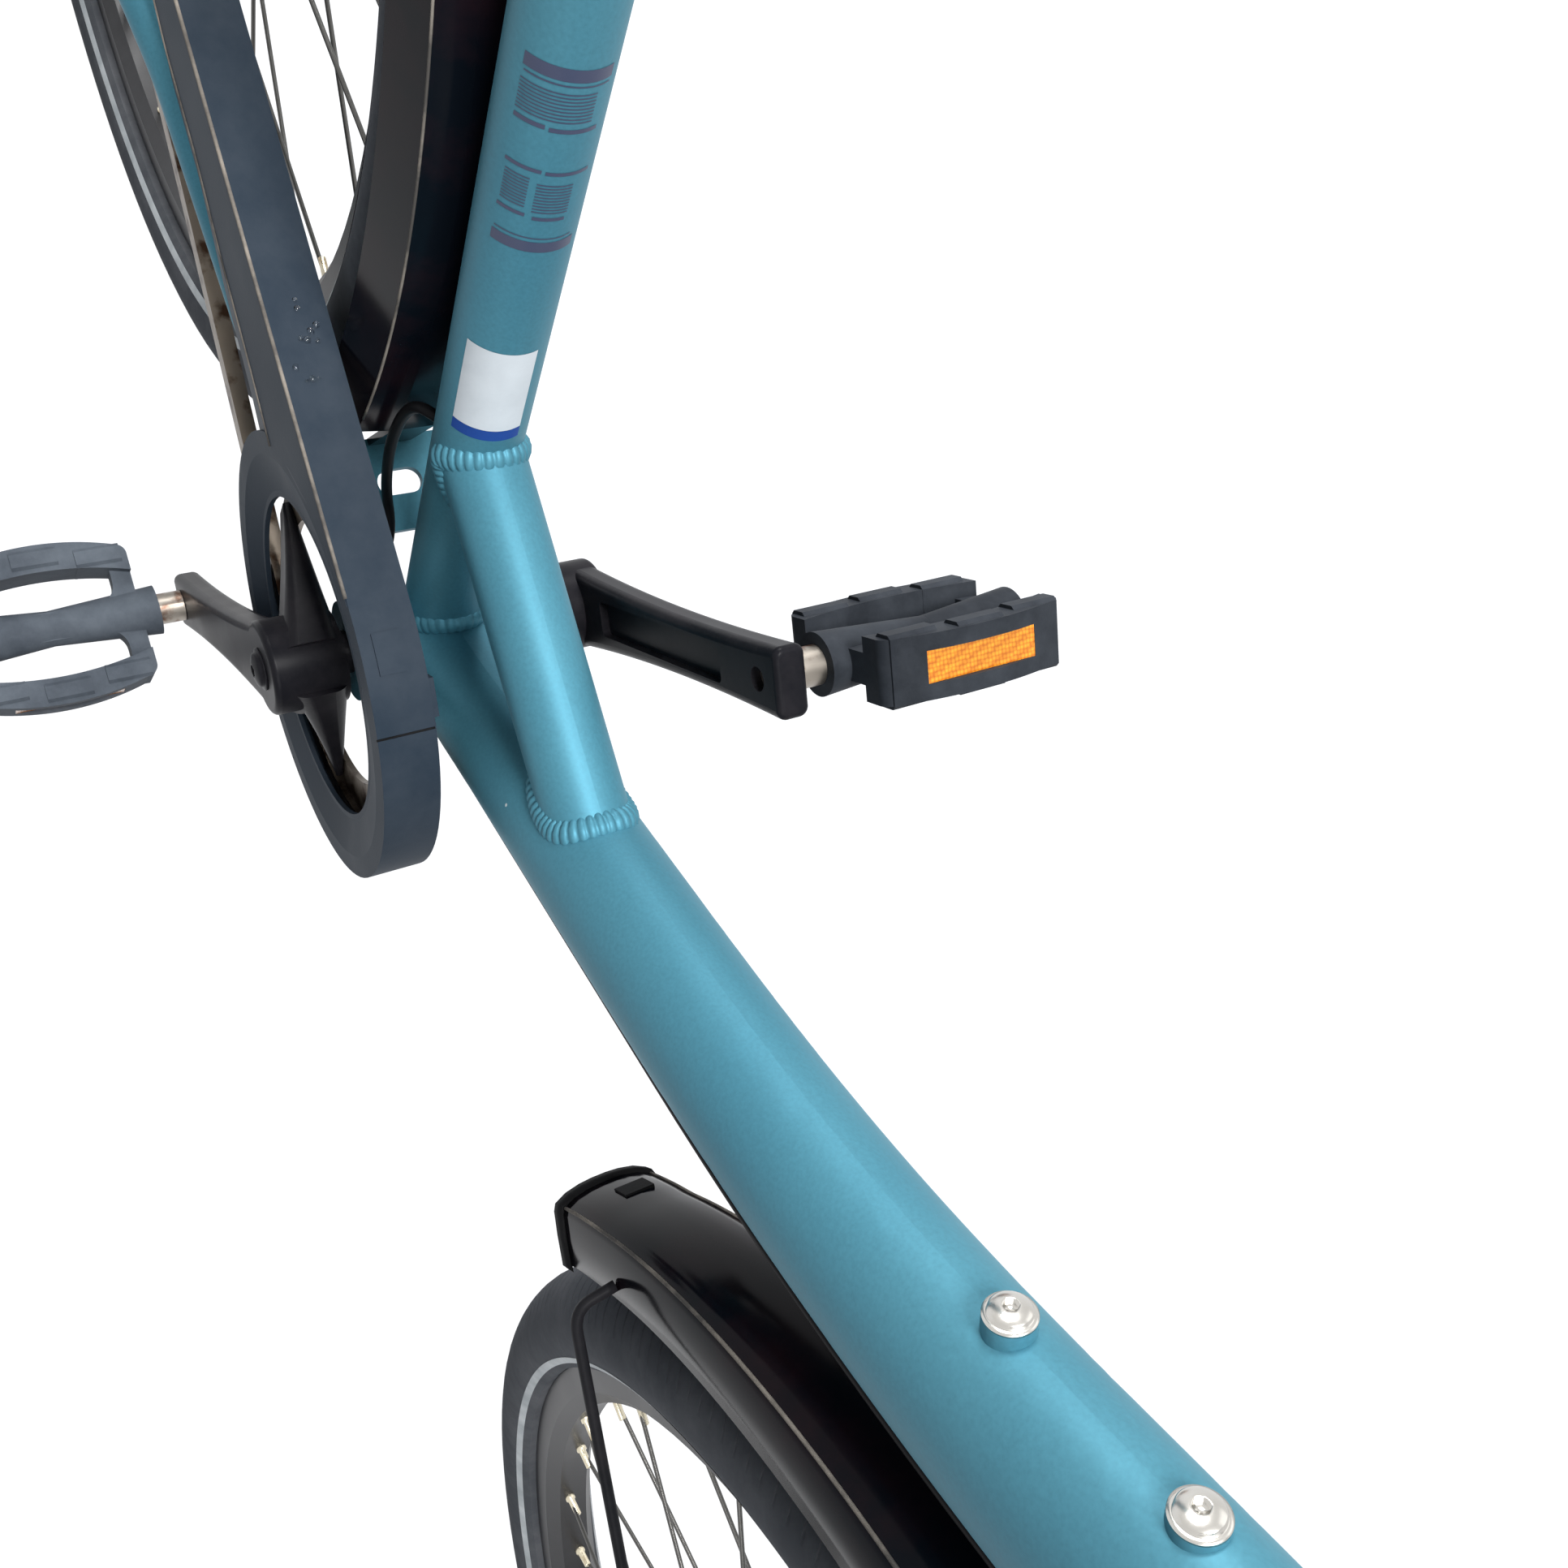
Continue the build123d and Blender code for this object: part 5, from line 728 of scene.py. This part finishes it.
front_guard = shell_piece("front_mudguard", front_axle, np.linspace(52, 179.2, 130), front_section, guard_gloss,
                          "steering")
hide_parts("front_fender")
print("mudguard section", SECTION_Y[0] * 2, "mm wide")

# %% [markdown]
# A thin rubber rim closes the mudguard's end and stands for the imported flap. It is the same section over the last
# degree, a little larger all round. A flat steel strap holds the mudguard under the fork crown. It is placed along
# the steering axis, up from the foot: the axis's nearest place to the front axle, found with a dot product.

# %% Rim and strap of the front mudguard
RIM_MIDDLE = np.array([388.0, -END_SHIFT_MM])
RIM_GROWTH = np.array([1.09, 1.07])
RIM_LIFT = np.array([0.4, 0.0])
STRAP_UP, STRAP_BACK, STRAP_THICK, STRAP_WIDE, STRAP_LONG = 410.0, 23.6, 3.0, 18.0, 28.0


def rim_section(degrees):
    """The front section grown about its own middle, and lifted a little."""
    return (front_section(degrees) - RIM_MIDDLE) * RIM_GROWTH + RIM_MIDDLE + RIM_LIFT


rim_piece = shell_piece("front_mudguard_rim", front_axle, np.linspace(179.0, 180.0, 3), rim_section, grip_rubber,
                        "steering")
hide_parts("front_mudflap")
steer_forward = np.array([steer_direction[2], 0, -steer_direction[0]])
steer_place = to_bike(joints["steering"]["pos_m"])
steer_foot = front_axle - steer_forward * ((front_axle - steer_place) @ steer_forward)
strap_middle = steer_foot + steer_direction * STRAP_UP - steer_forward * STRAP_BACK
corners = np.array([[-1, -1], [1, -1], [1, 1], [-1, 1]]) / 2
outline = corners[:, :1] * steer_forward * STRAP_THICK + corners[:, 1:] * np.array([0, STRAP_WIDE, 0])
strap = np.stack([strap_middle + end * steer_direction * STRAP_LONG / 2 + outline for end in (-1, 1)])
skin("front_mudguard_strap", strap, powder_coat, "steering", smooth=False)
print("strap at", strap_middle.round(1))

# %% [markdown]
# Two bent steel wires carry the mudguard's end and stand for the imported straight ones. Each runs from an eyelet
# beside the front axle to a knee, and turns in there to the mudguard's skirt. The knee is rounded by a quadratic
# curve: (1 - t)^2 before + 2 t (1 - t) knee + t^2 after.

# %% Bent wires of the front mudguard
WIRE_MM = 2.2
EYELET_MM = np.array([-11.0, 58.2, -8.0])
KNEE_R, KNEE_ANGLE, KNEE_Y = 379.0, 171.6, 46.0
SKIRT_R, SKIRT_ANGLE = 382.0, 171.4
BEND_BEFORE_MM, BEND_AFTER_MM = 9.0, 7.0
SIDES = {"left": 1, "right": -1}
wires = []
for side_name, side in SIDES.items():
    eyelet = front_axle + EYELET_MM * [1, side, 1]
    knee = arc_place(front_axle, KNEE_R, KNEE_ANGLE, side * KNEE_Y)
    skirt = arc_place(front_axle, SKIRT_R, SKIRT_ANGLE, side * SECTION_Y[0] * (1 - END_NARROWING) - END_SHIFT_MM)
    before, after = knee + unit(eyelet - knee) * BEND_BEFORE_MM, knee + unit(skirt - knee) * BEND_AFTER_MM
    t = np.linspace(0, 1, 9)[:, None]
    bend = (1 - t) ** 2 * before + 2 * t * (1 - t) * knee + t ** 2 * after
    wire_path = np.concatenate([np.linspace(eyelet, before, 12)[:-1], bend, np.linspace(after, skirt, 4)[1:]])
    wires.append(skin("front_wire_" + side_name, sweep_grid(wire_path, WIRE_MM, 12), powder_coat, "steering"))
for wire in wires:
    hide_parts("front_fender_stays")
print("wires", len(wires))

# %% [markdown]
# The creases on the shoulders of both mudguards carry a painted highlight: a thin cord of pale plastic is laid over
# each crease. On the front it follows the section's fourth place, on the rear a set radius.

# %% Painted highlights on the creases of the mudguards
CREASE_COLUMN = 3
REAR_CREASE_R, REAR_CREASE_Y = 378.0, 26.6
# Each pale cord along a crease is a painted highlight
for side_name, side in SIDES.items():
    degrees = np.linspace(60, 178.8, 180)
    late = late_share(degrees)
    line = arc_place(front_axle, SECTION_R[CREASE_COLUMN] - END_DROP_MM * late ** 2 + 0.1, degrees,
                     side * SECTION_Y[CREASE_COLUMN] * (1 - END_NARROWING * late) - END_SHIFT_MM * late)
    skin("front_mudguard_crease_highlight_" + side_name, sweep_grid(line, 0.7, 6), painted_highlight_plastic, "steering")
    line = arc_place(rear_axle, REAR_CREASE_R, np.linspace(5, 195, 160), side * REAR_CREASE_Y)
    skin("rear_mudguard_crease_highlight_" + side_name, sweep_grid(line, 0.5, 6), painted_highlight_plastic, "frame")
print("creases at", SECTION_R[CREASE_COLUMN], REAR_CREASE_R)

# %% [markdown]
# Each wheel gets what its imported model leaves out: a pale reflective stripe moulded into both sides of the tyre, a
# nickelled nipple where each of the 36 spokes enters the rim, and the valve with its cap. The stripe lies on the
# round side of the tyre, so its y is sqrt(R^2 - (r - middle)^2) for each radius r.

# %% Tyre stripes, nipples and valves
TYRE_MIDDLE_R, TYRE_ROUND_R = 333.9, 23.5
STRIPE_R = (320.3, 323.7)
SPOKE_COUNT = 36
NIPPLE_FOOT_R, NIPPLE_ASIDE_MM = 286.0, 2.0
VALVE_FOOT_R, VALVE_ANGLE = 297.0, 275
nipple_profile = [(0, 1.15), (0.4, 1.7), (9.0, 1.8), (9.4, 2.6), (12.0, 2.6)]
valve_profile = [(0, 3.0), (-6, 3.0), (-6.5, 2.4), (-20, 2.4), (-20.5, 3.6), (-31, 3.6), (-33, 2.6), (-34, 0.6)]
for end, axle in (("front", front_axle), ("rear", rear_axle)):
    wheel = end + "_wheel"
    for side_name, side in SIDES.items():
        radii = np.linspace(*STRIPE_R, 5)
        bulge = np.sqrt(TYRE_ROUND_R ** 2 - (radii - TYRE_MIDDLE_R) ** 2) + 0.2
        turn = np.linspace(0, 360, 240, endpoint=False)
        ring = arc_place(axle, radii[None, :], turn[:, None] + np.zeros(5), side * bulge[None, :])
        skin(f"{end}_tyre_stripe_{side_name}", ring, stripe_white, wheel, closed_rows=True, closed_columns=False)
    nipples = []
    for index in range(SPOKE_COUNT):
        degrees = index * 360 / SPOKE_COUNT
        foot = arc_place(axle, NIPPLE_FOOT_R, degrees, NIPPLE_ASIDE_MM if index % 2 == 0 else -NIPPLE_ASIDE_MM)
        nipples.append(turned_grid(foot, rising(degrees), nipple_profile, 12))
    rows, columns = nipples[0].shape[:2]
    faces = []
    for index in range(SPOKE_COUNT):
        first = index * rows * columns
        faces += [[first + k for k in face] for face in grid_faces(rows, columns)]
        faces += [[first + k for k in range(columns)][::-1]]
    make_piece(end + "_nipples", np.concatenate([n.reshape(-1, 3) for n in nipples]), faces, brass, wheel)
    foot = arc_place(axle, VALVE_FOOT_R, VALVE_ANGLE, 0.0)
    skin(end + "_valve", turned_grid(foot, rising(VALVE_ANGLE), valve_profile, 20), grip_rubber, wheel)
print("wheels dressed")

# %% [markdown]
# A black cable comes out of the seat tube and runs down over the stand plate, where a tie holds it. Its path is a
# few points with their corners cut, and each round of cutting makes the bends smoother. A ring carried along the
# path is the jacket, and a short wide ring is the tie.

# %% Cable over the stand plate
CABLE_RADIUS_MM, TIE_RADIUS_MM, TIE_WIDTH_MM = 2.2, 3.4, 3.2
CABLE_POINTS = [(-58, -10, 114), (-69, -17, 106), (-67, -17, 70), (-58, -13, 30), (-46, -10.5, 15),
                (-36, -14, 10), (-31, -20, -4), (-27, -23, -24)]


def rounded_path(points, rounds=3):
    """Corner cutting: each corner gives way to points a quarter of the way along its two sides."""
    points = np.asarray(points, float)
    for repeat in range(rounds):
        first, second = points[:-1] * 0.75 + points[1:] * 0.25, points[:-1] * 0.25 + points[1:] * 0.75
        middle = np.stack([first, second], axis=1).reshape(-1, 3)
        points = np.vstack([points[:1], middle, points[-1:]])
    return points


cable_path = rounded_path(CABLE_POINTS)
skin("plate_cable", sweep_grid(cable_path, CABLE_RADIUS_MM, 12), cable_jacket, "frame")
tie_at = len(cable_path) * 3 // 4
tie_start, tie_next = cable_path[tie_at:tie_at + 2]
tie_path = np.linspace(tie_start, tie_start + unit(tie_next - tie_start) * TIE_WIDTH_MM, 4)
skin("plate_cable_tie", sweep_grid(tie_path, TIE_RADIUS_MM, 16), grip_rubber, "frame")
print("cable mm", round(float(np.linalg.norm(np.diff(cable_path, axis=0), axis=1).sum())))

# %% [markdown]
# Three small things lie on curved surfaces: the plug and the seam on the guard's rim, and a clip on the mudguard.
# The plug and the clip are patches of angle by width with a top and an underside, and the seam is a thin dark cord
# across the rim.

# %% Plug, seam and clip
RIM_TOP_R = 92.45
SEAM_ANGLE = 61.0


def curved_block(name, centre, top_r, low_r, degrees, y, material, body):
    """A flat block bent round an axis: a grid of angle by width at the top radius, joined to one at the low."""
    turn, wide = np.meshgrid(degrees, y, indexing="ij")
    top, low = arc_place(centre, top_r, turn, wide), arc_place(centre, low_r, turn, wide)
    return skin(name, np.concatenate([top, low[:, ::-1]], axis=1), material, body, smooth=False)


curved_block("guard_plug", np.zeros(3), 93.1, 91.6, np.linspace(75.5, 85.0, 7), np.linspace(-50.0, -39.5, 4),
             guard_nylon, "frame")
seam_line = arc_place(np.zeros(3), RIM_TOP_R, np.full(12, SEAM_ANGLE), np.linspace(-55.3, -33.5, 12))
skin("guard_seam", sweep_grid(seam_line, 0.45, 8), grip_rubber, "frame")
curved_block("front_mudguard_clip", front_axle, 402.6, 399.0, np.linspace(174.9, 176.6, 4),
             np.linspace(-10.0, 2.0, 5), grip_rubber, "steering")
print("plug, seam and clip placed")

# %% [markdown]
# Bolts hold the cranks and the brake rotors. The profile of the bottle bolts serves again, in other sizes. Each
# bolt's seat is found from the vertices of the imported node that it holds, so it follows that node.

# %% Crank and rotor bolts
CRANK_EYE_R, CRANK_HEAD_R = 16, 7.2
ROTOR_BOLTS, ROTOR_BOLT_R, ROTOR_HEAD_R = 6, 21.0, 3.6


def node_points(name):
    """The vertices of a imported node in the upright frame, in mm."""
    mesh = nodes[name].data
    flat = np.empty(len(mesh.vertices) * 3)
    mesh.vertices.foreach_get("co", flat)
    return to_bike(flat.reshape(-1, 3))


for side_name, side in (("right", -1), ("left", 1)):
    crank = node_points("crank_" + side_name)
    near = np.hypot(crank[:, 0], crank[:, 2]) < CRANK_EYE_R
    seat = np.array([0, side * ((crank[near, 1] * side).max() + 0.02), 0])
    button_bolt("crank_bolt_" + side_name, seat, np.array([0, side, 0]), CRANK_HEAD_R, forged_black, "cranks")
for end, axle in (("front", front_axle), ("rear", rear_axle)):
    rotor = node_points(end + "_rotor")
    rotor_y = rotor[:, 1].max() if rotor[:, 1].mean() > 0 else rotor[:, 1].min()
    out = np.array([0, np.sign(rotor_y), 0])
    for index in range(ROTOR_BOLTS):
        seat = arc_place(axle, ROTOR_BOLT_R, index * 60.0 + 30.0, rotor_y)
        button_bolt(f"{end}_rotor_bolt_{index}", seat, out, ROTOR_HEAD_R, zinc_steel, end + "_wheel", sides=24)
print("bolts", 2 + 2 * ROTOR_BOLTS)

# %% [markdown]
# The headlight gets a domed clear lens, turned on a lathe profile to nine tenths of the lamp's own width. Each grip
# gets a row of low ribs. The longest spread of its vertices, found by a singular value decomposition, is its axis.

# %% Headlight lens and grip ribs
RIB_COUNT = 14
lamp_points = node_points("headlight")
lamp_front = lamp_points[lamp_points[:, 0] > lamp_points[:, 0].max() - 1.0]
lens_middle = (lamp_front.max(axis=0) + lamp_front.min(axis=0)) / 2
lens_radius = (lamp_front[:, 1].max() - lamp_front[:, 1].min()) / 2 * 0.9
lens = [(-0.5, lens_radius), (0.8, lens_radius), (2.2, lens_radius * 0.8), (3.0, lens_radius * 0.4), (3.2, 0.4)]
skin("headlight_lens", turned_grid(lens_middle, [1, 0, 0], lens, 40), clear_prisms, "steering")

grip_points = node_points("grips")
for side_name, side in SIDES.items():
    half = grip_points[grip_points[:, 1] * side > 0]
    middle = (half.max(axis=0) + half.min(axis=0)) / 2
    axis = np.linalg.svd(half - half.mean(axis=0), full_matrices=False)[2][0]
    reach = (half - middle) @ axis
    grip_radius = np.linalg.norm((half - middle) - reach[:, None] * axis, axis=1).max()
    low, high = grip_radius - 0.6, grip_radius + 0.7
    rib = [(-1.6, low), (-0.8, high), (0.8, high), (1.6, low)]
    for index, share in enumerate(np.linspace(0.12, 0.88, RIB_COUNT)):
        place = middle + axis * (reach.min() + (reach.max() - reach.min()) * share)
        skin(f"grip_rib_{side_name}_{index:02d}", turned_grid(place, axis, rib, 32), grip_rubber, "steering")
print("lens radius", round(float(lens_radius), 1), "grip radius", round(float(grip_radius), 1))

# %% [markdown]
# Rain has left a few drops on the guard's top. Each is a small dome of water, which lets light through and bends it
# as its index of refraction of 1.33 says. Their places and sizes are drawn at random, always from the same seed.

# %% Rain drops on the guard
DROP_COUNT = 11
water, _, water_shader, _ = start_material("rain_water")
water_shader.inputs["Base Color"].default_value = colour("#ffffff")
water_shader.inputs["Roughness"].default_value = 0.02
water_shader.inputs["Transmission Weight"].default_value = 1.0
water_shader.inputs["IOR"].default_value = 1.33
spread = np.random.default_rng(4)
for index in range(DROP_COUNT):
    x = -118 + 34 * spread.random()
    drop_seat = np.array([x, -52 + 14 * spread.random(), guard_top(x) + 0.72])
    size = 0.6 + 0.8 * spread.random()
    dome = np.array([(0, 1), (0.25, 0.96), (0.5, 0.75), (0.66, 0.4), (0.7, 0.05 / size)]) * size
    skin(f"guard_drop_{index:02d}", turned_grid(drop_seat, [0, 0, 1], dome, 18), water, "frame")
print("drops", DROP_COUNT)

# %% [markdown]
# The floor is a plain pale sheet, and the camera sees it and the world as white, as the photograph's cut-out
# background is. Light for the object itself is set apart from that. Camera, glossy and transmission rays see the
# white background, and all other rays a grey floor and a dim blue world.

# %% Floor and world
FLOOR_SIZE_M = 14.0
WORLD_STRENGTH = 0.07
WORLD_TINT = (0.74, 0.88, 1.0, 1.0)


def background_rays(tree):
    """1 for the rays that see the background, which are camera, glossy and transmission rays, and 0 for others."""
    rays = add(tree, "ShaderNodeLightPath")
    seen = rays.outputs["Is Camera Ray"]
    for kind in ("Is Glossy Ray", "Is Transmission Ray"):
        total = add(tree, "ShaderNodeMath", links={0: seen, 1: rays.outputs[kind]}, operation="ADD")
        seen = total.outputs[0]
    total.use_clamp = True
    return seen


floor_mesh = bpy.data.meshes.new("studio_floor")
half = FLOOR_SIZE_M / 2
floor_mesh.from_pydata([(-half, -half, 0), (half, -half, 0), (half, half, 0), (-half, half, 0)], [], [(0, 1, 2, 3)])
floor = bpy.data.objects.new("studio_floor", floor_mesh)
bpy.context.scene.collection.objects.link(floor)
paper, paper_tree, paper_shader, _ = start_material("studio_paper_white")
paper_shader.inputs["Base Color"].default_value = colour("#484c53")
paper_shader.inputs["Roughness"].default_value = 0.9
paper_shader.inputs["Emission Color"].default_value = (1, 1, 1, 1)
paper_tree.links.new(background_rays(paper_tree), paper_shader.inputs["Emission Strength"])
floor_mesh.materials.append(paper)

world = bpy.data.worlds.new("studio_world")
bpy.context.scene.world = world
world.use_nodes = True
sky = world.node_tree
sky.nodes.clear()
seen = background_rays(sky)
strength = add(sky, "ShaderNodeMapRange", {"To Min": WORLD_STRENGTH, "To Max": 1.0}, {"Value": seen})
tint = ramp(sky, seen, 0.0, 1.0, WORLD_TINT, (1.0, 1.0, 1.0, 1.0))
back = add(sky, "ShaderNodeBackground", links={"Color": tint, "Strength": strength.outputs["Result"]})
add(sky, "ShaderNodeOutputWorld", links={"Surface": back.outputs[0]})
print("floor and world ready")

# %% [markdown]
# Four soft square lamps light the object. The brightest is above and the next is behind, where the down tube
# mirrors it, so that the tubes go from bright to deep blue. Two weak ones, in front and to the left, open the
# shadows.

# %% Lamps


def soft_lamp(name, place_mm, target_mm, size_m, watts):
    """A square area lamp that looks at a place on the bicycle."""
    lamp = bpy.data.lights.new(name, "AREA")
    lamp.size = size_m
    lamp.energy = watts
    holder = bpy.data.objects.new(name, lamp)
    bpy.context.scene.collection.objects.link(holder)
    place, target = Vector(to_row(place_mm)), Vector(to_row(target_mm))
    holder.location = place
    holder.rotation_euler = (target - place).to_track_quat("-Z", "Y").to_euler()


soft_lamp("lamp_over_middle", (150, -40, 2400), (60, 0, 150), 0.8, 72)
soft_lamp("lamp_front_right", (1500, -800, 1500), (0, 0, 250), 1.0, 13)
soft_lamp("lamp_over_left", (-300, 1900, 1500), (0, 0, 250), 1.4, 5)
soft_lamp("lamp_behind", (-1750, 180, 1150), (250, 0, 300), 0.9, 60)
print("lamps", len(bpy.data.lights))

# %% [markdown]
# The camera stands where the photographer's did. Its place, what it looks at, its roll, its focal length and its
# image centre were fitted to parts of the photograph whose real size is known. The columns of a camera's matrix are
# its right, its up and the opposite of where it looks, each turned from the upright frame into the row's frame.

# %% Camera
PHOTO_PX = 1932
FOCAL_PX = 1866.22
SENSOR_MM = 36.0
CENTRE_PX = np.array([1008.13, 933.97])
CAMERA_PLACE_MM = np.array([84.84, -183.95, 634.96])
CAMERA_TARGET_MM = np.array([95.35, 162.25, 0.0])
CAMERA_ROLL = -1.33
look = unit(CAMERA_TARGET_MM - CAMERA_PLACE_MM)
right = unit(np.cross(look, [0, 0, 1]))
down = np.cross(look, right)
rolled_right = np.cos(CAMERA_ROLL) * right + np.sin(CAMERA_ROLL) * down
rolled_down = -np.sin(CAMERA_ROLL) * right + np.cos(CAMERA_ROLL) * down
turn = np.stack([rolled_right, -rolled_down, -look]) @ bike_axes
pose = Matrix(turn.T.tolist()).to_4x4()
pose.translation = Vector(to_row(CAMERA_PLACE_MM))
camera_data = bpy.data.cameras.new("photo_camera")
camera = bpy.data.objects.new("photo_camera", camera_data)
bpy.context.scene.collection.objects.link(camera)
camera.matrix_world = pose
camera_data.sensor_width = SENSOR_MM
camera_data.lens = FOCAL_PX / PHOTO_PX * SENSOR_MM
shift_x, shift_y = (CENTRE_PX - PHOTO_PX / 2) / PHOTO_PX
camera_data.shift_x = -shift_x
camera_data.shift_y = shift_y
camera_data.clip_start = 0.02
bpy.context.scene.camera = camera
bpy.context.scene.view_settings.view_transform = "Standard"
print("camera", [round(v, 3) for v in camera.matrix_world.translation])

# %% Finish
bpy.context.view_layer.update()
